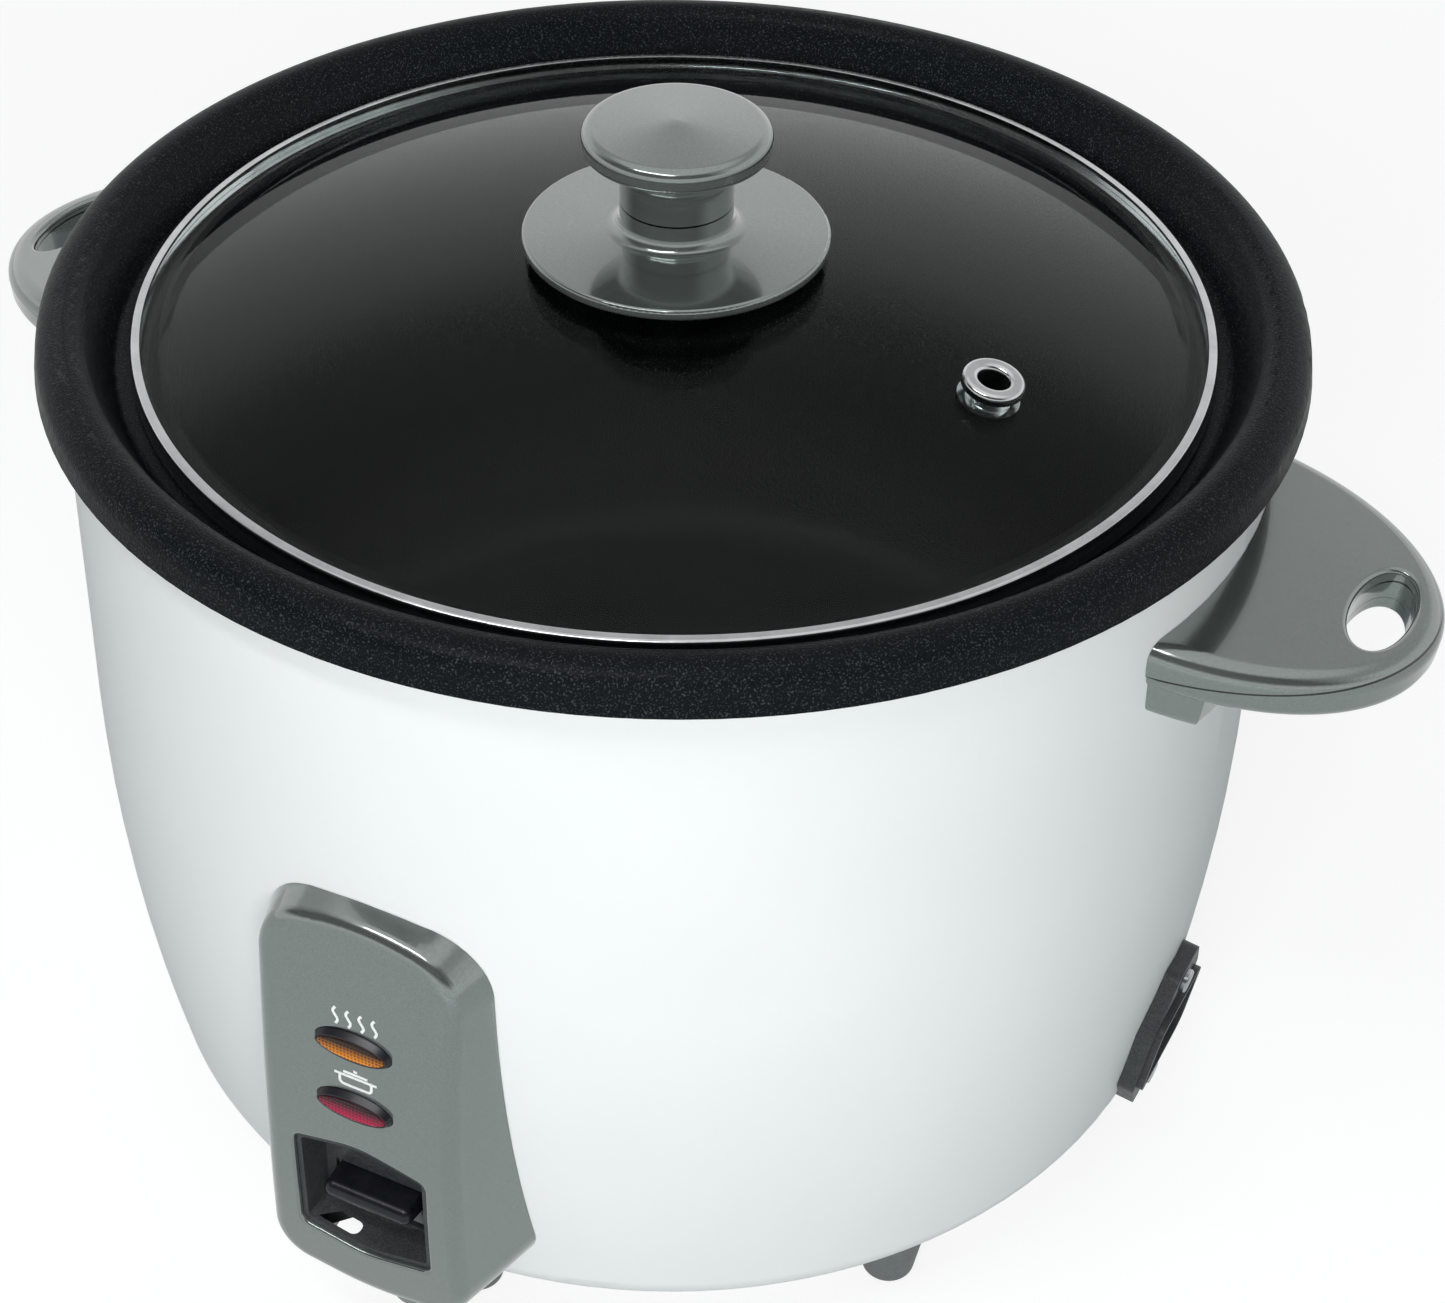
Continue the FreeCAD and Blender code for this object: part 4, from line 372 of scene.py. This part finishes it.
def zinc_steel():
    made = Finish("zinc_steel", Metallic=1.0)
    made.colours(made.cells(6 * MM), (0.42, 0.44, 0.46), (0.60, 0.62, 0.63), 0.1, 0.7)
    made.roughness(made.noise(3 * MM, 3.0), 0.30, 0.46)
    made.bump(made.noise(1.2 * MM), 0.02 * MM, 0.3)
    return made.material


def bare_aluminium():
    made = Finish("bare_aluminium", Metallic=1.0)
    marks = made.rings(0.9 * MM)
    made.colours(made.noise(12 * MM, 3.0), (0.60, 0.61, 0.62), (0.74, 0.75, 0.76))
    made.roughness(marks, 0.26, 0.42)
    made.bump(marks, 0.03 * MM, 0.35)
    return made.material


def ferrite():
    made = Finish("ferrite", Specular_IOR_Level=0.4)
    made.colours(made.noise(1.5 * MM, 4.0), (0.020, 0.020, 0.022), (0.050, 0.050, 0.054))
    made.roughness(made.noise(2 * MM), 0.50, 0.70)
    made.bump(made.noise(0.5 * MM, 4.0), 0.04 * MM, 0.5)
    return made.material


def brass():
    made = Finish("brass", Metallic=1.0)
    made.colours(made.noise(5 * MM, 3.0), (0.62, 0.44, 0.16), (0.80, 0.60, 0.25))
    made.roughness(made.noise(1.5 * MM, 3.0), 0.22, 0.36)
    return made.material


def sign_ink():
    made = Finish("sign_ink", Specular_IOR_Level=0.3)
    made.colours(made.noise(0.8 * MM), (0.82, 0.84, 0.83), (0.90, 0.91, 0.91))
    made.roughness(made.noise(1 * MM), 0.40, 0.55)
    return made.material


FINISHES = (
    white_enamel,
    nonstick,
    grey_plastic,
    foot_plastic,
    dark_plastic,
    black_plastic,
    amber_lens,
    red_lens,
    lid_glass,
    bright_steel,
    zinc_steel,
    bare_aluminium,
    ferrite,
    brass,
)


def dress_nodes():
    """Each CAD node wears the finish of its material slot."""
    worn = {make.__name__: make() for make in FINISHES}
    slots = {row["node"]: row["material_slot"] for row in frame["record"]["subparts"]}
    for name, node in frame["nodes"].items():
        node.data.materials.clear()
        node.data.materials.append(worn[slots[name]])
    return worn


# Building blocks of the added pieces


def arc(centre, radius, start, end, steps=8):
    """Flat points along an arc, from one angle to the other, in degrees."""
    points = []
    for k in range(steps + 1):
        angle = math.radians(start + (end - start) * k / steps)
        points.append((centre[0] + radius * math.cos(angle), centre[1] + radius * math.sin(angle)))
    return points


def new_piece(name, mesh, material, body):
    """The finished mesh as an object that wears one material and moves with a CAD body."""
    bmesh.ops.recalc_face_normals(mesh, faces=mesh.faces)
    data = bpy.data.meshes.new(name)
    mesh.to_mesh(data)
    mesh.free()
    data.materials.append(material)
    piece = bpy.data.objects.new(name, data)
    bpy.context.scene.collection.objects.link(piece)
    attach(piece, body)
    return piece


def join_rings(mesh, first, second):
    """A closed band of faces between two rings of as many points."""
    for k in range(len(first)):
        mesh.faces.new((first[k - 1], first[k], second[k], second[k - 1]))


def shade(piece):
    """Smooth shading, with the sharp edges kept."""
    piece.data.shade_smooth()
    piece.data.set_sharp_from_angle(angle=SMOOTH_ANGLE)


# Lid channel, turned finely so that its bright edges run smoothly


def channel_profile():
    """Outline in radius and height: a wall with rounded outer edges and two lips that point inwards."""
    low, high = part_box("lid_ring")
    outer = (high.x - low.x) / 2.0
    wall = outer - CHANNEL_WALL
    inner = wall - CHANNEL_LIP
    under = low.z + CHANNEL_WALL
    over = high.z - CHANNEL_WALL
    points = [(inner, low.z)]
    points += arc((wall, under), CHANNEL_WALL, 270, 360)
    points += arc((wall, over), CHANNEL_WALL, 0, 90)
    points += [(inner, high.z), (inner, over), (wall, over), (wall, under), (inner, under)]
    return points


def make_channel(steel):
    """The channel round the lid's glass, in place of the node whose facets show in its gloss."""
    mesh = bmesh.new()
    rings = []
    for radius, height in channel_profile():
        ring = []
        for k in range(CHANNEL_SEGMENTS):
            angle = math.tau * k / CHANNEL_SEGMENTS
            place = (POT_AXIS.x + radius * math.cos(angle), POT_AXIS.y + radius * math.sin(angle), height)
            ring.append(mesh.verts.new(place))
        rings.append(ring)
    for i, ring in enumerate(rings):
        join_rings(mesh, rings[i - 1], ring)
    piece = new_piece("lid_channel", mesh, steel, "lid")
    shade(piece)
    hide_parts("lid_ring")


# Sensor spring, under the sensor's cap


def spring_rings(mesh, bottom, rise):
    """Rings of points round the spring's wire, along a coil that climbs by `rise` from `bottom`."""
    count = SPRING_TURNS * SPRING_STEPS
    rings = []
    for i in range(count + 1):
        angle = math.tau * i / SPRING_STEPS
        outward = Vector((math.cos(angle), math.sin(angle), 0.0))
        middle = Vector((POT_AXIS.x, POT_AXIS.y, bottom + rise * i / count)) + outward * SPRING_RADIUS
        ring = []
        for side, up in arc((0.0, 0.0), SPRING_WIRE, 0, 360, WIRE_SIDES)[:-1]:
            ring.append(mesh.verts.new(middle + outward * side + Vector((0.0, 0.0, up))))
        rings.append(ring)
    return rings


def make_spring(steel):
    """The coil spring, held by the cooker at its lower end."""
    low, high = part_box("sensor_spring")
    length = high.z - low.z
    mesh = bmesh.new()
    rings = spring_rings(mesh, low.z + SPRING_WIRE, length - 2.0 * SPRING_WIRE)
    for first, second in zip(rings, rings[1:]):
        join_rings(mesh, first, second)
    mesh.faces.new(rings[0])
    mesh.faces.new(rings[-1])
    piece = new_piece("spring_coil", mesh, steel, "cooker")
    shade(piece)
    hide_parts("sensor_spring")
    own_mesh(piece)


# Signs on the switch panel


def on_face(x, z):
    """The point of the panel's face at x and z, in front of it by the ink's height."""
    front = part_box("panel_housing")[0].y
    back = math.sqrt(FACE_RADIUS**2 - (z - FACE_CENTRE_Z) ** 2)
    return Vector((x, front + FACE_RADIUS - back - SIGN_PROUD, z))


def stroke(mesh, line):
    """An inked line along points (x, z) of the panel's face, SIGN_LINE wide."""
    left, right = [], []
    for i, (x, z) in enumerate(line):
        ahead = line[min(i + 1, len(line) - 1)]
        behind = line[max(i - 1, 0)]
        run = Vector((ahead[0] - behind[0], ahead[1] - behind[1])).normalized() * (SIGN_LINE / 2.0)
        left.append(mesh.verts.new(on_face(x - run.y, z + run.x)))
        right.append(mesh.verts.new(on_face(x + run.y, z - run.x)))
    for i in range(len(line) - 1):
        mesh.faces.new((left[i], left[i + 1], right[i + 1], right[i]))


def sign(name, lines, ink):
    """One sign of several strokes, printed on the panel's face."""
    mesh = bmesh.new()
    for line in lines:
        stroke(mesh, line)
    piece = new_piece(name, mesh, ink, "cooker")
    body = piece.modifiers.new("thickness", "SOLIDIFY")
    body.thickness = SIGN_THICKNESS
    body.offset = 0.0


def warm_lines():
    """Rising heat: a row of upright waves."""
    lines = []
    for i in range(WAVE_COUNT):
        middle = SIGN_X + (i - (WAVE_COUNT - 1) / 2.0) * WAVE_PITCH
        line = []
        for k in range(WAVE_STEPS + 1):
            share = k / WAVE_STEPS
            x = middle + WAVE_SWING * math.sin(share * math.tau)
            line.append((x, WARM_SIGN_Z + (share - 0.5) * WAVE_HEIGHT))
        lines.append(line)
    return lines


def cook_lines():
    """A cooking pot: its body, two ears, a lid and the lid's knob."""
    half = POT_SIGN_WIDTH / 2.0
    top = COOK_SIGN_Z + POT_SIGN_DEPTH / 2.0
    low = top - POT_SIGN_DEPTH
    left = SIGN_X - half
    right = SIGN_X + half
    turn = POT_SIGN_CORNER
    body = [(left, top)]
    body += arc((left + turn, low + turn), turn, 180, 270)
    body += arc((right - turn, low + turn), turn, 270, 360)
    body += [(right, top)]
    brim = [(left - POT_SIGN_EAR, top), (right + POT_SIGN_EAR, top)]
    lid_z = top + POT_SIGN_LID
    lid = [(left + turn, lid_z), (right - turn, lid_z)]
    knob = [(SIGN_X - turn / 2.0, lid_z + POT_SIGN_LID), (SIGN_X + turn / 2.0, lid_z + POT_SIGN_LID)]
    return [body, brim, lid, knob]


def make_signs():
    ink = sign_ink()
    sign("sign_warm", warm_lines(), ink)
    sign("sign_cook", cook_lines(), ink)


# Studio


def make_camera():
    data = bpy.data.cameras.new("camera")
    data.lens = CAMERA_LENS
    data.sensor_fit = "HORIZONTAL"
    data.sensor_width = CAMERA_SENSOR
    camera = bpy.data.objects.new("camera", data)
    bpy.context.scene.collection.objects.link(camera)
    turn = Matrix.Rotation(CAMERA_HEADING, 4, "Z")
    tilt = Matrix.Rotation(math.pi / 2.0 - CAMERA_PITCH, 4, "X")
    roll = Matrix.Rotation(CAMERA_ROLL, 4, "Z")
    camera.matrix_world = Matrix.Translation(CAMERA_PLACE) @ turn @ tilt @ roll
    bpy.context.scene.camera = camera


def room_level(web):
    """Brightness of the mirrored room in each direction."""
    heading = web.add("ShaderNodeTexCoord").outputs["Generated"]
    parts = web.add("ShaderNodeSeparateXYZ", {"Vector": heading}).outputs
    below = web.spread(parts["Z"], 1.0, 0.0, *BAND_TO)
    front = web.times(web.spread(parts["Z"], 0.0, 1.0, *FRONT_FROM), below)
    front = web.times(front, web.spread(parts["Y"], 1.0, 0.0, *FRONT_TO_BACK))
    back = web.times(web.spread(parts["Z"], 0.0, 1.0, *BACK_FROM), below)
    back = web.times(back, web.spread(parts["Y"], 0.0, 1.0, *FRONT_TO_BACK))
    return web.times(web.spread(front, 1.0, FRONT_LEVEL), web.spread(back, 1.0, BACK_LEVEL))


def mirrored_rays(web):
    """1 for the rays that gloss and glass send on."""
    path = web.add("ShaderNodeLightPath").outputs
    return web.combine("MAXIMUM", path["Is Glossy Ray"], path["Is Transmission Ray"])


def camera_rays(web):
    """1 for the rays that come straight from the camera."""
    return web.add("ShaderNodeLightPath").outputs["Is Camera Ray"]


def make_world():
    """White where it is seen, the room where it is mirrored, and a soft even light elsewhere."""
    world = bpy.data.worlds.new("studio")
    bpy.context.scene.world = world
    world.use_nodes = True
    web = Web(world.node_tree)
    light = web.add("ShaderNodeBackground", Color=WORLD_COLOUR, Strength=WORLD_LEVEL)
    room = web.add("ShaderNodeBackground", {"Strength": room_level(web)}, Color=WHITE)
    white = web.add("ShaderNodeBackground", Color=WHITE)
    unseen = web.mix(mirrored_rays(web), light.outputs["Background"], room.outputs["Background"])
    whole = web.mix(camera_rays(web), unseen, white.outputs["Background"])
    web.tree.links.new(whole, web.tree.nodes["World Output"].inputs["Surface"])


def floor_level(web):
    """Strength of the floor's glow: less for mirrored rays, and less round the object."""
    mirrored = web.spread(mirrored_rays(web), 0.0, FLOOR_MIRRORED)
    level = web.combine("MAXIMUM", camera_rays(web), mirrored)
    place = web.add("ShaderNodeNewGeometry").outputs["Position"]
    away = web.add("ShaderNodeVectorMath", {"Vector": place})
    away.operation = "LENGTH"
    return web.times(level, web.spread(away.outputs["Value"], FLOOR_NEAR, 1.0, *FLOOR_FADE))


def floor_finish():
    """A matt floor whose glow is added to the light that falls on it, so that shadows stay."""
    made = Finish("floor", Base_Color=FLOOR_COLOUR, Roughness=0.9, Specular_IOR_Level=0.1)
    painted_light = made.add("ShaderNodeEmission", {"Strength": floor_level(made)}, Color=FLOOR_GLOW)
    both = made.add("ShaderNodeAddShader")
    made.tree.links.new(made.shader.outputs["BSDF"], both.inputs[0])
    made.tree.links.new(painted_light.outputs["Emission"], both.inputs[1])
    made.tree.links.new(both.outputs["Shader"], made.tree.nodes["Material Output"].inputs["Surface"])
    return made.material


def make_floor():
    """A pale floor that glows up to the white surround and keeps the object's shadow."""
    mesh = bmesh.new()
    bmesh.ops.create_grid(mesh, x_segments=1, y_segments=1, size=FLOOR_SIZE / 2.0)
    data = bpy.data.meshes.new("floor")
    mesh.to_mesh(data)
    mesh.free()
    data.materials.append(floor_finish())
    floor = bpy.data.objects.new("floor", data)
    bpy.context.scene.collection.objects.link(floor)


def make_lamp(name, place, width, height, power, mirrored):
    """A soft box that faces the object. Gloss and glass mirror it or not."""
    data = bpy.data.lights.new(name, "AREA")
    data.shape = "RECTANGLE"
    data.size = width
    data.size_y = height
    data.energy = power
    lamp = bpy.data.objects.new(name, data)
    bpy.context.scene.collection.objects.link(lamp)
    lamp.visible_glossy = mirrored
    lamp.visible_transmission = mirrored
    lamp.location = place
    aim = LAMP_AIM - Vector(place)
    lamp.rotation_euler = aim.to_track_quat("-Z", "Y").to_euler()


def make_lamps():
    make_lamp("key", **KEY_LAMP)
    make_lamp("over", **OVER_LAMP)
    make_lamp("back", **BACK_LAMP)


bpy.context.scene.view_settings.view_transform = "Standard"
make_camera()
make_world()
make_floor()
make_lamps()
worn = dress_nodes()
make_channel(worn["bright_steel"])
make_spring(worn["zinc_steel"])
make_signs()
